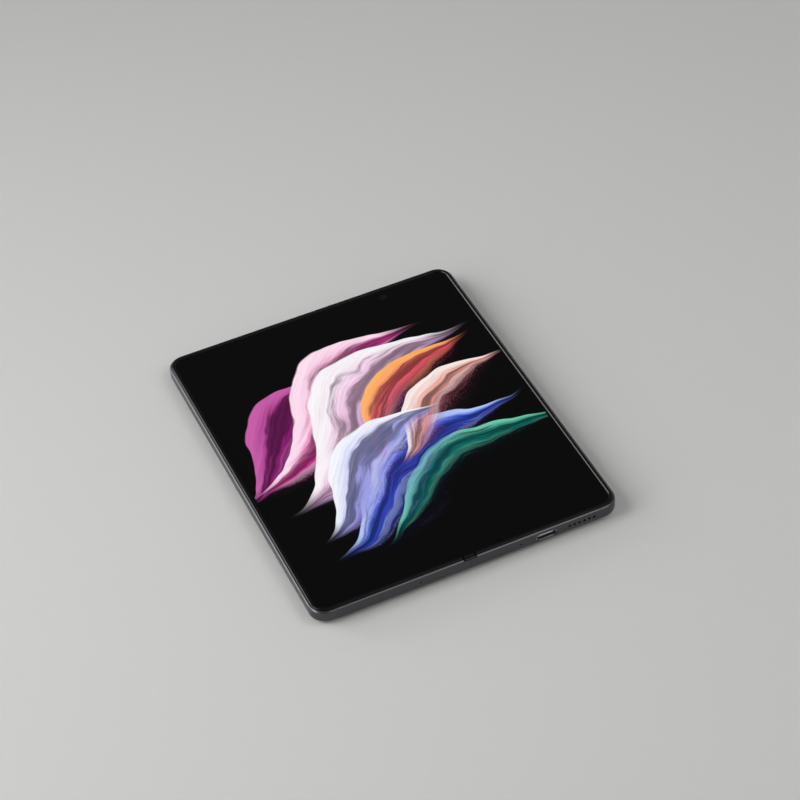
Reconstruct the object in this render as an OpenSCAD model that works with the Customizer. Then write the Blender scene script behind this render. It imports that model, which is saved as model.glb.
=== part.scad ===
// Foldable smartphone: two halves that turn about two parallel axes in a spine.
// X runs across the open phone, Y along the fold to the phone's top, Z out of the inner display.
// The origin is below the middle of the open phone, level with the face of the camera island.

/* [Halves] */
// Width of one half, from the fold line to its outer edge
half_w = 64.05; // [60:0.05:72]
// Length of the phone along the fold
body_h = 158.2; // [152:0.1:175]
// Thickness of one half
body_t = 6.4; // [6.4:0.05:7.4]
// Radius of the outer corners
corner_r = 7; // [5.5:0.5:9]
// Rounding of the back edge
back_edge_r = 1.8; // [1.2:0.1:1.9]
// Gap between the two halves at the fold line, each side
fold_gap = 0.08; // [0.05:0.01:0.15]
// Thickness of the frame's wall beside the inner display
frame_wall = 1.6; // [1.4:0.1:1.9]
// Thickness of the frame's wall beside the parts bay
bay_wall = 2.8; // [2.4:0.1:3.4]
// Thickness of the frame's mid plate
midplate_t = 0.8; // [0.6:0.05:0.9]
// Thickness of the rail between the hinge cavity and the parts bay
rail_t = 2; // [1.6:0.1:3]

/* [Bezel] */
// Distance of the bezel from the frame's outer edge
rim_inset = 1; // [0.8:0.05:1.2]
// Distance of the bezel's inner edge from the frame's outer edge
rim_reach = 2.45; // [2.3:0.05:3]
// Height of the bezel above the inner display
rim_proud = 0.4; // [0.3:0.05:0.6]
// Height from the frame's top land up to the display's face
land_drop = 0.15; // [0.1:0.05:0.25]
// Bevel on the bezel's outer edge
rim_bevel = 0.2; // [0.1:0.05:0.3]
// Width of the slope on the bezel's inner edge
rim_slope = 0.3; // [0.15:0.05:0.4]
// Running gap between the bezel and the display
rim_gap = 0.02; // [0.01:0.01:0.05]

/* [Inner display] */
// Thickness of the display panel
panel_t = 0.9; // [0.7:0.05:1]
// Thickness of the support plates and wing plates
plate_t = 0.3; // [0.2:0.05:0.4]
// Half width of the strip that bends
strip_half = 8; // [7:0.5:9]
// Gap round the display and its plates
panel_gap = 0.1; // [0.05:0.05:0.2]
// Distance of the bending strip's ends from the frame's outer edge
strip_inset = 2.2; // [2.15:0.05:2.3]
// Inner edge of the wing plates, from the fold line
wing_x0 = 0.8; // [0.7:0.1:1.2]
// Distance of the wing plates' ends from the frame's outer edge
wing_inset = 2.7; // [2.6:0.1:4]

/* [Fold axes] */
// Gap between the bezels at the fold when closed
closed_gap = 3.2; // [3.1:0.05:3.4]
// Depth of the fold axes below the bezel's top
axis_drop = 0.575; // [0.55:0.025:0.6]
// Travel of each half, in degrees
fold_travel = 90.7; // [89:0.1:91]
// Thickness of each half's back wall over the spine
hinge_wall = 0.45; // [0.35:0.05:0.5]
// Thickness of the end walls over the spine
end_wall = 1.1; // [0.9:0.05:1.1]

/* [Spine] */
// Thickness of the spine cover
spine_wall = 0.5; // [0.4:0.05:0.55]
// Running gap between the spine and the halves
spine_gap = 0.1; // [0.08:0.01:0.15]
// Gap between the spine's ends and the end walls
spine_end_gap = 0.15; // [0.1:0.05:0.25]
// Height of the end cap's head
cap_t = 0.9; // [0.7:0.05:0.9]
// Depth of the end cap's head below the bezel's top
cap_sink = 0.05; // [0.05:0.05:0.1]
// Gap beside the end cap's head, to the bezels
cap_gap = 0.625; // [0.62:0.005:0.75]
// Gap under the end cap's head, to the end walls
cap_under_gap = 0.15; // [0.1:0.05:0.2]
// Half width of the end cap's stem
cap_stem_half = 1.5; // [1.2:0.1:1.6]
// Thickness of the plate that closes each end of the spine
cap_plate_t = 1.2; // [0.8:0.1:2]

/* [Curved rails] */
// Inner radius of the curved rails
rail_r_in = 2.95; // [2.9:0.05:3]
// Radial thickness of the curved rails
rail_r_t = 0.65; // [0.5:0.05:0.7]
// Width of a curved rail along the fold
rail_w = 3; // [2.4:0.2:3.4]
// Offset of a station's two rails from its middle
rail_off = 2.5; // [2.4:0.1:3]
// Radial running gap of the rails in their grooves
rail_gap = 0.05; // [0.03:0.01:0.08]
// Side gap of the rails in their grooves
rail_side_gap = 0.15; // [0.1:0.05:0.3]
// Angle at which a rail starts
rail_a0 = -153; // [-154:1:-148]
// Angle at which a rail meets its foot
rail_a1 = -22; // [-26:1:-22]
// Distance of the end rail stations from the phone's ends
station_end = 17.1; // [15.1:1:21.1]
// Length of a spine bracket along the fold
bracket_len = 13; // [12:0.5:14]
// Thickness of the rails' feet
foot_t = 0.8; // [0.6:0.05:0.8]
// Width of a foot's pad on the frame
pad_w = 7; // [5:0.5:8]

/* [Synchronising gears] */
// Gear module
gear_m = 0.212; // [0.204:0.002:0.214]
// Teeth of each spine gear
gear_teeth = 8; // [8:8]
// Teeth of a full circle of a sector gear
sector_teeth = 26; // [26:26]
// Pressure angle in degrees
gear_pa = 25; // [22:1:26]
// Thinning of each tooth at the pitch circle
gear_backlash = 0.07; // [0.05:0.01:0.1]
// Width of the middle gear plane along the fold
gear_w = 2; // [1.6:0.2:2.4]
// Width of a sector gear along the fold
sector_w = 1.8; // [1.4:0.2:2]
// Side gap between gear planes and bearing walls
gear_side_gap = 0.2; // [0.15:0.05:0.3]
// Inner radius of the sector gears
sector_r_in = 2.2; // [2.1:0.05:2.25]
// Radius of the gear shafts
shaft_r = 0.3; // [0.25:0.01:0.32]
// Radial running gap of the gears on their shafts
shaft_gap = 0.03; // [0.02:0.01:0.05]
// Thickness of the gears' bearing walls
bearing_t = 1.2; // [1:0.1:1.6]
// Distance of each gear set from the middle
gear_y = 36; // [32:1:42]
// Length of the spring washer stacks
washer_len = 1; // [0.6:0.1:1.4]
// Radius of the spring washers
washer_r = 0.7; // [0.55:0.05:0.75]

/* [Back glass] */
// Thickness of the back glass and the cover glass
glass_t = 0.5; // [0.4:0.05:0.6]
// Distance of the glass from the frame's outer edge
glass_inset = 1.9; // [1.9:0.1:2.2]
// Inner edge of the glass, from the fold line
glass_x0 = 4.2; // [4:0.1:5]
// Gap round the glass
glass_gap = 0.05; // [0.03:0.01:0.1]

/* [Cameras] */
// Height of the camera island above the back glass
island_h = 1.5; // [1.2:0.1:2]
// Width of the camera island
island_w = 16.5; // [15:0.5:18]
// Length of the camera island
island_l = 46; // [44:1:50]
// Distance of the island's middle from the outer edge
island_edge = 14; // [12.5:0.5:16]
// Distance of the island's top end from the phone's top edge
island_top = 6; // [5:0.5:9]
// Rounding of the island's outer edge
island_bevel = 0.4; // [0.2:0.1:0.5]
// Step of the island's neck inside its outline
island_step = 0.8; // [0.6:0.1:1.2]
// Radius of the camera windows
window_r = 5.3; // [4.8:0.1:5.6]
// Thickness of the camera windows
window_t = 0.6; // [0.4:0.1:0.8]
// Depth of the camera windows below the island's face
window_sink = 0.15; // [0.1:0.05:0.3]
// Gap round the camera windows
window_gap = 0.05; // [0.03:0.01:0.1]
// Distance between the cameras
camera_pitch = 12.4; // [12:0.1:12.8]
// Distance of the first camera from the island's top end
camera_first = 8.25; // [7.5:0.25:9]
// Radius of a camera barrel
barrel_r = 4.2; // [3.6:0.1:4.6]
// Side of a camera module
camera_side = 10; // [9:0.5:11]
// Height of a camera module
camera_h = 2.6; // [2:0.1:2.9]
// Radius of the flash lens
flash_r = 2; // [1.5:0.1:2.2]
// Distance of the flash from the island's lower end
flash_end = 4; // [3.6:0.2:5]
// Distance of the display's and cover's cameras from the outer edge
front_cam_edge = 32.05; // [28.05:0.5:36.05]
// Distance of the display's and cover's cameras from the top edge
front_cam_top = 6.7; // [6.2:0.1:8]
// Radius of the display's and cover's camera barrels
front_cam_r = 1.6; // [1.3:0.1:1.8]
// Side of the display's and cover's camera modules
front_cam_side = 5.5; // [4.5:0.5:6]
// Height of the display's camera module
front_cam_h = 1.4; // [1:0.1:1.6]

/* [Keys] */
// Height of the side keys, across the thickness
key_h = 2.4; // [2:0.1:2.4]
// Depth of the side keys in the wall
key_depth = 1.5; // [1.2:0.1:1.6]
// Travel of the side keys
key_travel = 0.25; // [0.2:0.05:0.35]
// Gap round the side keys
key_gap = 0.12; // [0.08:0.01:0.2]
// Length of the power key
power_l = 13; // [11:0.5:16]
// Height of the power key above the wall
power_proud = 0.2; // [0.1:0.05:0.4]
// Distance of the power key's middle from the phone's top end
power_top = 75.1; // [69.1:1:79.1]
// Length of the volume rocker
volume_l = 21; // [18:0.5:24]
// Height of the volume rocker above the wall
volume_proud = 0.4; // [0.2:0.05:0.5]
// Distance of the volume rocker's middle from the phone's top end
volume_top = 48.1; // [43.1:1:51.1]
// Thickness of the key switches
switch_t = 0.8; // [0.6:0.1:0.9]
// Length of a key switch
switch_l = 4; // [3:0.5:5]

/* [Card tray] */
// Length of the tray's face
tray_face_l = 21; // [19:0.5:24]
// Height of the tray's face
tray_face_h = 2.2; // [1.8:0.1:2.2]
// Depth of the tray's face in the wall
tray_face_t = 1.4; // [1:0.1:1.8]
// Width of the tray along the fold
tray_w = 15; // [14:0.5:16]
// Reach of the tray into the phone
tray_reach = 25; // [23:0.5:28]
// Thickness of the tray
tray_t = 1.3; // [1:0.1:1.4]
// Gap round the tray
tray_gap = 0.1; // [0.08:0.01:0.15]
// Distance of the tray's middle from the phone's top end
tray_top = 46.1; // [43.1:1:51.1]
// Thickness of the card reader's walls
reader_wall = 0.25; // [0.2:0.05:0.35]
// Length of a card's pocket in the tray
card_l = 8.8; // [8.8:0.1:9]
// Width of a card's pocket in the tray
card_w = 12.3; // [12.3:0.1:12.6]
// Depth of a card's pocket in the tray
card_t = 0.7; // [0.65:0.05:0.8]
// Radius of the eject pin hole
eject_r = 0.45; // [0.35:0.05:0.5]

/* [USB socket] */
// Outside width of the socket's shell
usb_w = 8.94; // [8.9:0.01:9]
// Outside height of the socket's shell
usb_h = 3.16; // [3.1:0.01:3.2]
// Thickness of the socket's shell
usb_wall = 0.3; // [0.25:0.01:0.3]
// Depth of the socket
usb_l = 7.3; // [6.6:0.1:8]
// Distance of the shell's mouth from the frame's outer edge
usb_sink = 0.4; // [0.2:0.1:0.6]
// Gap round the shell
usb_gap = 0.08; // [0.05:0.01:0.12]
// Distance of the socket from the outer edge
usb_edge = 32.05; // [30.05:0.5:35.05]
// Width of the tongue
tongue_w = 6.69; // [6.6:0.01:6.7]
// Thickness of the tongue
tongue_t = 0.7; // [0.65:0.01:0.72]
// Distance of the tongue's tip from the mouth
tongue_sink = 0.8; // [0.5:0.1:1]

/* [Grilles] */
// Radius of a speaker hole
grille_r = 0.55; // [0.4:0.05:0.6]
// Number of speaker holes in a row
grille_count = 6; // [4:1:7]
// Distance between speaker holes
grille_pitch = 2.1; // [1.8:0.1:2.2]
// Distance of the middle of a grille from the outer edge
grille_edge = 17.05; // [16.05:0.5:18.05]
// Radius of a microphone hole
mic_r = 0.4; // [0.3:0.05:0.5]
// Distance of a microphone hole from the fold line
mic_x = 21; // [18:0.5:23]

/* [Antenna breaks] */
// Width of a break
break_w = 0.9; // [0.6:0.1:1.2]
// Depth of a break
break_depth = 0.6; // [0.4:0.05:0.8]
// Distance of the end breaks from the outer edge
break_x = 9; // [8:0.5:9]
// Distance of the side breaks from the phone's ends
break_y = 14; // [11:0.5:18]

/* [Batteries] */
// Thickness of the right battery
right_battery_t = 3; // [2.6:0.1:3]
// Gap between the right battery and the USB board
right_battery_gap = 5.7; // [3.7:0.5:6.7]
// Thickness of the left battery
left_battery_t = 2.4; // [2:0.1:2.5]
// Gap between the left battery and the card reader
left_battery_gap = 9.15; // [7.15:1:14.15]
// Distance of the left battery from the phone's bottom end
left_battery_end = 29.1; // [27.1:1:31.1]
// Gap between a battery and the walls
battery_gap = 1.5; // [1:0.1:2]
// Rounding of the batteries' long edges
battery_r = 0.8; // [0.4:0.1:1]

/* [Boards] */
// Thickness of the circuit boards
board_t = 0.8; // [0.6:0.1:0.9]
// Height of the board shields
shield_h = 1.3; // [1.1:0.1:1.4]
// Width of the main board
main_board_w = 28; // [26:0.5:28.5]
// Length of the main board
main_board_l = 43; // [40:0.5:44]
// Gap between the main board and the right battery
main_board_gap = 3; // [2:0.5:5]
// Length of the left board
left_board_l = 22; // [20:0.5:23]
// Width of the left board
left_board_w = 28; // [26:0.5:29]
// Length of the USB board
usb_board_l = 24; // [22:0.5:25]
// Width of the USB board
usb_board_w = 16; // [14.5:0.5:16.5]
// Radius of the boards' screws
screw_r = 0.6; // [0.5:0.05:0.7]
// Radius of the screw heads
head_r = 1.1; // [0.95:0.05:1.2]
// Height of the screw heads
head_h = 0.4; // [0.3:0.05:0.5]
// Reach of the screws into the mid plate
screw_bite = 0.5; // [0.4:0.05:0.6]

/* [Sound, touch and charging] */
// Length of the speakers across the phone
speaker_w = 13; // [11.5:0.5:13.5]
// Depth of the speakers from the wall
speaker_l = 15; // [12:0.5:16]
// Thickness of the bottom speaker
bottom_speaker_t = 3; // [2.4:0.1:3.2]
// Thickness of the top speaker
top_speaker_t = 2.4; // [2:0.1:2.5]
// Length of the vibration motor
motor_l = 16; // [14:0.5:17]
// Width of the vibration motor
motor_w = 6; // [5:0.5:7]
// Thickness of the vibration motor
motor_t = 3; // [2.4:0.1:3]
// Outer radius of the charging coil
coil_r = 20; // [17:0.5:20]
// Inner radius of the charging coil
coil_r_in = 11; // [9:0.5:13]
// Thickness of the charging coil
coil_t = 0.3; // [0.2:0.05:0.4]
// Thickness of the cover display's panel
cover_panel_t = 0.8; // [0.7:0.05:0.9]
// Gap between the cover display's panel and the bay's walls
cover_panel_gap = 0.6; // [0.4:0.1:1]
// Length of a closing magnet
magnet_l = 14; // [10:1:18]
// Width of a closing magnet
magnet_w = 1.2; // [1:0.1:1.4]
// Thickness of a closing magnet
magnet_t = 2; // [1.5:0.1:2.4]
// Distance of the magnets from the phone's ends
magnet_end = 17.1; // [15.1:1:21.1]

/* [Fold cables] */
// Width of a fold cable
flex_w = 9; // [7:0.5:11]
// Thickness of a fold cable
flex_t = 0.15; // [0.1:0.01:0.2]
// Distance of the fold cables from the middle
flex_y = 17; // [15:0.5:18]
// Reach of the fold cables from the fold line
flex_reach = 15; // [14:0.5:16]
// Height of the cable slots in the rails
flex_slot_h = 0.6; // [0.45:0.05:0.6]

/* [Hidden] */

$fn = 72;

// How far a cut runs out past what it cuts
cut = 1;

// Radial gaps: of a screw in its thread, of a screw or head in its hole, of a screw in a
// board, and of a camera barrel in what it passes through
thread_gap = 0.02;
hole_gap = 0.05;
board_gap = 0.1;
barrel_gap = 0.2;

// Heights, from the camera island's face up
z_back = island_h;
z_top = z_back + body_t;
z_face = z_top - rim_proud;
z_land = z_face - land_drop;
z_panel = z_face - panel_t;
z_plate = z_panel - plate_t;
z_mid = z_plate - midplate_t;
z_glass = z_back + glass_t;
z_side = (z_back + back_edge_r + z_land - rim_inset) / 2;

// The fold axes
z_axis = z_top - axis_drop;
axis_x = closed_gap / 2 + axis_drop;
cavity_r = z_axis - z_back - hinge_wall;
spine_r = cavity_r - spine_gap;
spine_r_in = spine_r - spine_wall;
z_spine = z_axis - spine_r;
z_spine_floor = z_spine + spine_wall;
z_spine_edge = z_axis - axis_x + spine_gap;
z_bracket_top = z_spine_edge - spine_gap / 2;

// Lengths along the fold
end_y = body_h / 2;
spine_end_y = end_y - end_wall - spine_end_gap;

// The rail between the cavity and the bay
rail_x0 = axis_x + cavity_r;
rail_x1 = rail_x0 + rail_t;
rail_edge = 0.2;
band_flat = 0.4;
band_lap = 0.5;
band_w = 2 * back_edge_r + band_flat;

// Feet of the curved rails
foot_clear = 0.05;
z_foot_top = z_plate - foot_clear;
z_foot = z_foot_top - foot_t;
pad_x0 = rail_x0 + foot_clear;
pad_x1 = rail_x1 - rail_edge;
pad_x = (pad_x0 + pad_x1) / 2;
foot_screw_r = 0.45;
foot_screw_l = 1.8;
screw_room = 0.1;
foot_head_r = 0.7;
foot_head_h = 0.35;

// Gears
gear_r = gear_m * gear_teeth / 2;
sector_r = gear_m * sector_teeth / 2;
gear_add = 0.8 * gear_m;
gear_ded = 1.04 * gear_m;
pinion_x = 5 * gear_r;
mesh_a = -acos((pinion_x - axis_x) / (sector_r + gear_r));
z_gear = z_axis + (sector_r + gear_r) * sin(mesh_a);
plane_off = (gear_w + sector_w) / 2 + gear_side_gap;
set_half = plane_off + sector_w / 2 + gear_side_gap;
sector_margin = 8;
sector_a0 = mesh_a - fold_travel - sector_margin;
sector_root = sector_r - gear_ded;
sector_a1 = -asin((z_axis - z_foot_top + foot_t / 4) / sector_r_in);
sector_foot = (sector_r_in + 3 * sector_root) / 4 * cos(sector_a1);

// Stations along the fold
stations = [station_end - end_y, 0, end_y - station_end];
gear_sets = [-gear_y, gear_y];

// Parts bay
bay_x0 = rail_x1;
bay_x1 = half_w - bay_wall;
bay_y = end_y - bay_wall;
wing_x1 = rail_x1 - rail_edge;

// Cameras
island_x = half_w - island_edge;
island_y1 = end_y - island_top;
island_y0 = island_y1 - island_l;
front_cam_x = half_w - front_cam_edge;
front_cam_y = end_y - front_cam_top;

// Keys
power_y = end_y - power_top;
volume_y = end_y - volume_top;

// Card tray
tray_y = end_y - tray_top;
z_tray = z_mid - reader_wall - tray_gap - tray_t;

// Fold cables
flex_seat = 0.05;
flex_lift = 0.15;
flex_side_gap = 0.3;
flex_end_gap = 0.5;
z_flex = z_mid + flex_seat;

// Boards
board_edge = 1;
board_corner = 0.8;
board_camera_gap = 1.65;
boards_y1 = front_cam_y - front_cam_side / 2 - board_camera_gap;
z_shield = z_mid - shield_h;
z_board = z_shield - board_t;

// Speakers
grille_x = half_w - grille_edge;

// ---------------------------------------------------------------- helpers

// Half of the phone seen from above, set in by a distance, open at x0
module outline(inset, x0) {
    r = corner_r - inset;
    w = half_w - inset;
    h = end_y - inset;
    translate([x0, r - h])
        square([w - x0, 2 * (h - r)]);
    translate([x0, -h])
        square([w - r - x0, 2 * h]);
    for (s = [-1, 1])
        translate([w - r, s * (h - r)])
            circle(r);
}

// Carries a profile (distance in from the edge, height) round a half's three outer sides
module edge_sweep(x0) {
    translate([half_w, 0, 0])
        rotate([90, 0, 0])
            linear_extrude(2 * (end_y - corner_r), center = true)
                mirror([1, 0])
                    children();
    for (s = [0, 1])
        mirror([0, s, 0]) {
            translate([half_w - corner_r, end_y - corner_r, 0])
                rotate_extrude(angle = 90)
                    translate([corner_r, 0])
                        mirror([1, 0])
                            children();
            translate([x0, end_y, 0])
                rotate([90, 0, 90])
                    linear_extrude(half_w - corner_r - x0)
                        mirror([1, 0])
                            children();
        }
}

// Extrudes a shape drawn in X and Z along the fold, from y0 to y1
module along_fold(y0, y1) {
    translate([0, y1, 0])
        rotate([90, 0, 0])
            linear_extrude(y1 - y0)
                children();
}

// Block between two corners
module block(a, b) {
    translate(a)
        cube(b - a);
}

// Bar with round ends that lies in X and Z, centred
module slot_shape(w, h) {
    square([w - h, h], center = true);
    for (s = [-1, 1])
        translate([s * (w - h) / 2, 0])
            circle(h / 2);
}

// Slab with round corners, from z0 up by t
module round_slab(x0, x1, y0, y1, z0, t, r) {
    translate([0, 0, z0])
        linear_extrude(t)
            union() {
                translate([x0 + r, y0])
                    square([x1 - x0 - 2 * r, y1 - y0]);
                translate([x0, y0 + r])
                    square([x1 - x0, y1 - y0 - 2 * r]);
                for (x = [x0 + r, x1 - r])
                    for (y = [y0 + r, y1 - r])
                        translate([x, y])
                            circle(r);
            }
}

// Key or slot in the outer wall, seen from the side, from distance d0 to d1 inside the edge
module side_slot(l, h, y, d0, d1) {
    translate([half_w - d1, y, z_side])
        rotate([90, 0, 90])
            linear_extrude(d1 - d0)
                slot_shape(l, h);
}

// Round hole through the top wall (s = 1) or bottom wall (s = -1)
module end_hole(x, z, r, s) {
    translate([x, s * end_y, z])
        rotate([90, 0, 0])
            cylinder(r = r, h = 2 * (bay_wall + cut), center = true);
}

// Wedge of directions from angle a0 to a1 round the origin, out to radius r
module wedge(a0, a1, r) {
    steps = 6;
    polygon(concat([[0, 0]],
        [for (i = [0 : steps]) 2 * r * [cos(a0 + (a1 - a0) * i / steps),
            sin(a0 + (a1 - a0) * i / steps)]]));
}

// Part of a ring between two angles
module ring_sector(r_in, r_out, a0, a1) {
    intersection() {
        difference() {
            circle(r_out);
            circle(r_in);
        }
        wedge(a0, a1, r_out);
    }
}

// The spine's cross-section out to a radius from the axes, up to z1
module spine_shape(r, z1) {
    intersection() {
        union() {
            translate([-axis_x, z_axis - r])
                square([2 * axis_x, r]);
            for (s = [-1, 1])
                translate([s * axis_x, z_axis])
                    circle(r);
        }
        translate([-axis_x - r, 0])
            square([2 * (axis_x + r), z1]);
    }
}

// ---------------------------------------------------------------- gear teeth

// Involute function of an angle in degrees, in degrees
function inv(a) = (tan(a) - a * PI / 180) * 180 / PI;

// Half the angle that a tooth spans at radius r
function tooth_half(r, rp, teeth) =
    let (rb = rp * cos(gear_pa))
    let (at = max(r, rb))
    90 / teeth - gear_backlash / 2 / rp * 180 / PI + inv(gear_pa) - inv(acos(rb / at));

// Point at radius r and angle a
function polar(r, a) = r * [cos(a), sin(a)];

// Flank radii of a gear, from just outside its root to its tip
function flank_radii(rp) =
    let (rb = max(rp * cos(gear_pa), rp - 0.9 * gear_ded))
    [rb, (rb + rp) / 2, rp, rp + gear_add / 2, rp + gear_add];

// Outline of one tooth centred on angle a, from inside the root
function tooth_points(rp, teeth, a) =
    let (radii = flank_radii(rp))
    let (root = rp - 2 * gear_ded)
    let (root_half = tooth_half(rp - gear_ded, rp, teeth))
    concat(
        [polar(root, a - root_half)],
        [for (r = radii) polar(r, a - tooth_half(r, rp, teeth))],
        [for (i = [len(radii) - 1 : -1 : 0])
            polar(radii[i], a + tooth_half(radii[i], rp, teeth))],
        [polar(root, a + root_half)]);

// Spine gear with teeth at phase + n pitches
module spur(phase) {
    difference() {
        union() {
            circle(gear_r - gear_ded);
            for (i = [0 : gear_teeth - 1])
                polygon(tooth_points(gear_r, gear_teeth, phase + i * 360 / gear_teeth));
        }
        circle(shaft_r + shaft_gap);
    }
}

// Sector gear round the right axis, in mesh with a pinion whose teeth start at phase
module sector_shape(phase) {
    pitch = 360 / sector_teeth;
    gap_a = mesh_a - gear_teeth / sector_teeth * (phase - mesh_a - 180);
    first = ceil((sector_a0 - gap_a) / pitch);
    last = floor((mesh_a + sector_margin - gap_a) / pitch);
    ring_sector(sector_r_in, sector_root, sector_a0 - sector_margin / 2, sector_a1);
    for (i = [first : last - 1])
        polygon(tooth_points(sector_r, sector_teeth, gap_a + (i + 0.5) * pitch));
}

// One spine gear per set, n gear radii from the fold line, from plane y0 to y1
module gear_pair(n, phase, y0, y1) {
    for (y = gear_sets)
        translate([n * gear_r, 0, z_gear])
            along_fold(y + y0, y + y1)
                spur(phase);
}

// ---------------------------------------------------------------- shared by both halves

// The frame's edge, seen in section
module frame_profile() {
    translate([rim_inset, z_side])
        square([band_w - rim_inset, z_land - z_side]);
    translate([0, z_back + back_edge_r])
        square([band_w, z_land - rim_inset - z_back - back_edge_r]);
    translate([back_edge_r, z_back])
        square([band_w - back_edge_r, z_side - z_back]);
    translate([rim_inset, z_land - rim_inset])
        circle(rim_inset);
    translate([back_edge_r, z_back + back_edge_r])
        circle(back_edge_r);
}

// Slots for the antenna breaks, run out past the frame's edge
module break_slots() {
    x = half_w - break_x;
    l = break_depth + cut;
    for (s = [-1, 1]) {
        block([half_w - break_depth, s * (end_y - break_y) - break_w / 2, 0],
            [half_w + cut, s * (end_y - break_y) + break_w / 2, z_top]);
        block([x - break_w / 2, s * (end_y + cut - l / 2) - l / 2, 0],
            [x + break_w / 2, s * (end_y + cut - l / 2) + l / 2, z_top]);
    }
}

// Antenna breaks in the frame's edge
module breaks() {
    intersection() {
        break_slots();
        edge_sweep(fold_gap)
            frame_profile();
    }
}

// Pockets and screw holes on the rail for the feet at offset off from each station
module foot_pockets(off, gear_off) {
    for (y = stations)
        foot_pocket(y + off, pad_w);
    for (y = gear_sets)
        foot_pocket(y + gear_off, pad_w);
}

module foot_pocket(y, w) {
    block([axis_x, y - w / 2 - foot_clear, z_foot - foot_clear / 2],
        [pad_x1 + foot_clear, y + w / 2 + foot_clear, z_top]);
    translate([pad_x, y, z_foot - foot_screw_l])
        cylinder(r = foot_screw_r + thread_gap, h = foot_screw_l + cut);
}

// Frame of one half before its own openings
module half_frame(off, gear_off) {
    difference() {
        union() {
            edge_sweep(fold_gap)
                frame_profile();
            translate([0, 0, z_back])
                linear_extrude(z_land - z_back)
                    outline(band_w - band_lap, fold_gap);
        }
        // recess for the display and its plates
        translate([0, 0, z_plate])
            linear_extrude(body_t)
                outline(frame_wall, -cut);
        // cavity round the spine
        along_fold(end_wall - end_y, end_y - end_wall)
            union() {
                translate([axis_x, z_axis])
                    circle(cavity_r);
                translate([-cut, z_axis - cavity_r])
                    square([axis_x + cut, cavity_r + cut]);
            }
        // room for the end caps' heads
        block([-cut, -end_y - cut, z_top - cap_sink - cap_t - cap_under_gap],
            [axis_x + cap_gap, end_y + cut, z_top]);
        // parts bay
        translate([0, 0, z_back - cut])
            linear_extrude(z_mid - z_back + cut)
                outline(bay_wall, bay_x0);
        // seat of the glass
        translate([0, 0, z_back - cut])
            linear_extrude(glass_t + cut)
                outline(glass_inset, glass_x0);
        // slots for the fold cables
        for (s = [-1, 1])
            block([axis_x, s * flex_y - flex_w / 2 - flex_side_gap, z_flex - flex_lift],
                [flex_reach + flex_end_gap, s * flex_y + flex_w / 2 + flex_side_gap,
                    z_flex - flex_lift + flex_slot_h]);
        foot_pockets(off, gear_off);
        break_slots();
    }
}

// Curved rails and sector gears of one half, at its offsets
module hinge_brackets(off, gear_off, phase) {
    for (y = stations)
        rail(y + off);
    for (y = gear_sets)
        difference() {
            union() {
                translate([axis_x, 0, z_axis])
                    along_fold(y + gear_off - sector_w / 2, y + gear_off + sector_w / 2)
                        sector_shape(phase);
                foot(y + gear_off, sector_w, sector_foot);
            }
            foot_hole(y + gear_off);
        }
}

module rail(y) {
    difference() {
        union() {
            translate([axis_x, 0, z_axis])
                along_fold(y - rail_w / 2, y + rail_w / 2)
                    ring_sector(rail_r_in, rail_r_in + rail_r_t, rail_a0, rail_a1);
            foot(y, rail_w, rail_r_in * cos(rail_a1));
        }
        foot_hole(y);
    }
}

// Foot from d beside the axis out to its pad on the frame
module foot(y, w, d) {
    block([axis_x + d, y - w / 2, z_foot],
        [pad_x0 + foot_clear, y + w / 2, z_foot_top]);
    block([pad_x0, y - pad_w / 2, z_foot],
        [pad_x1, y + pad_w / 2, z_foot_top]);
}

module foot_hole(y) {
    translate([pad_x, y, z_foot - cut])
        cylinder(r = foot_screw_r + hole_gap, h = foot_t + 2 * cut);
    translate([pad_x, y, z_foot_top - foot_head_h])
        cylinder(r = foot_head_r + hole_gap, h = cut);
}

module hinge_screws(off, gear_off) {
    for (y = concat([for (s = stations) s + off], [for (s = gear_sets) s + gear_off]))
        translate([pad_x, y, 0]) {
            translate([0, 0, z_foot - foot_screw_l + screw_room])
                cylinder(r = foot_screw_r, h = foot_t + foot_screw_l - screw_room - foot_head_h / 2);
            translate([0, 0, z_foot_top - foot_head_h])
                cylinder(r = foot_head_r, h = foot_head_h);
        }
}

// Bezel round one half
module bezel() {
    edge_sweep(axis_x + cap_gap)
        rim_profile();
}

// The bezel, seen in section
module rim_profile() {
    polygon([
        [rim_inset, z_land],
        [rim_inset, z_top - rim_bevel],
        [rim_inset + rim_bevel, z_top],
        [rim_reach - rim_slope, z_top],
        [rim_reach, z_face + rim_gap],
        [frame_wall, z_face + rim_gap],
        [frame_wall, z_land]]);
}

// Display panel of one half
module panel() {
    translate([0, 0, z_panel])
        linear_extrude(panel_t)
            outline(frame_wall + panel_gap, strip_half);
}

module support_plate() {
    translate([0, 0, z_plate])
        linear_extrude(plate_t)
            outline(frame_wall + 2 * panel_gap, wing_x1 + panel_gap);
}

module wing_plate() {
    block([wing_x0, wing_inset - end_y, z_plate],
        [wing_x1, end_y - wing_inset, z_panel]);
}

// Glass on the back of one half
module glass() {
    translate([0, 0, z_back])
        linear_extrude(glass_t)
            outline(glass_inset + glass_gap, glass_x0 + glass_gap);
}

// Battery cell with rounded long edges
module cell(x0, x1, y0, y1, t) {
    along_fold(y0, y1)
        union() {
            translate([x0 + battery_r, z_mid - t])
                square([x1 - x0 - 2 * battery_r, t]);
            translate([x0, z_mid - t + battery_r])
                square([x1 - x0, t - 2 * battery_r]);
            for (x = [x0 + battery_r, x1 - battery_r])
                for (z = [z_mid - t + battery_r, z_mid - battery_r])
                    translate([x, z])
                        circle(battery_r);
        }
}

// Screws that hold a board against the mid plate
module board_screws(points) {
    for (p = points)
        translate([p[0], p[1], 0]) {
            translate([0, 0, z_board - head_h])
                cylinder(r = head_r, h = head_h);
            translate([0, 0, z_board - head_h / 2])
                cylinder(r = screw_r, h = z_mid + screw_bite - z_board + head_h / 2);
        }
}

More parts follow.
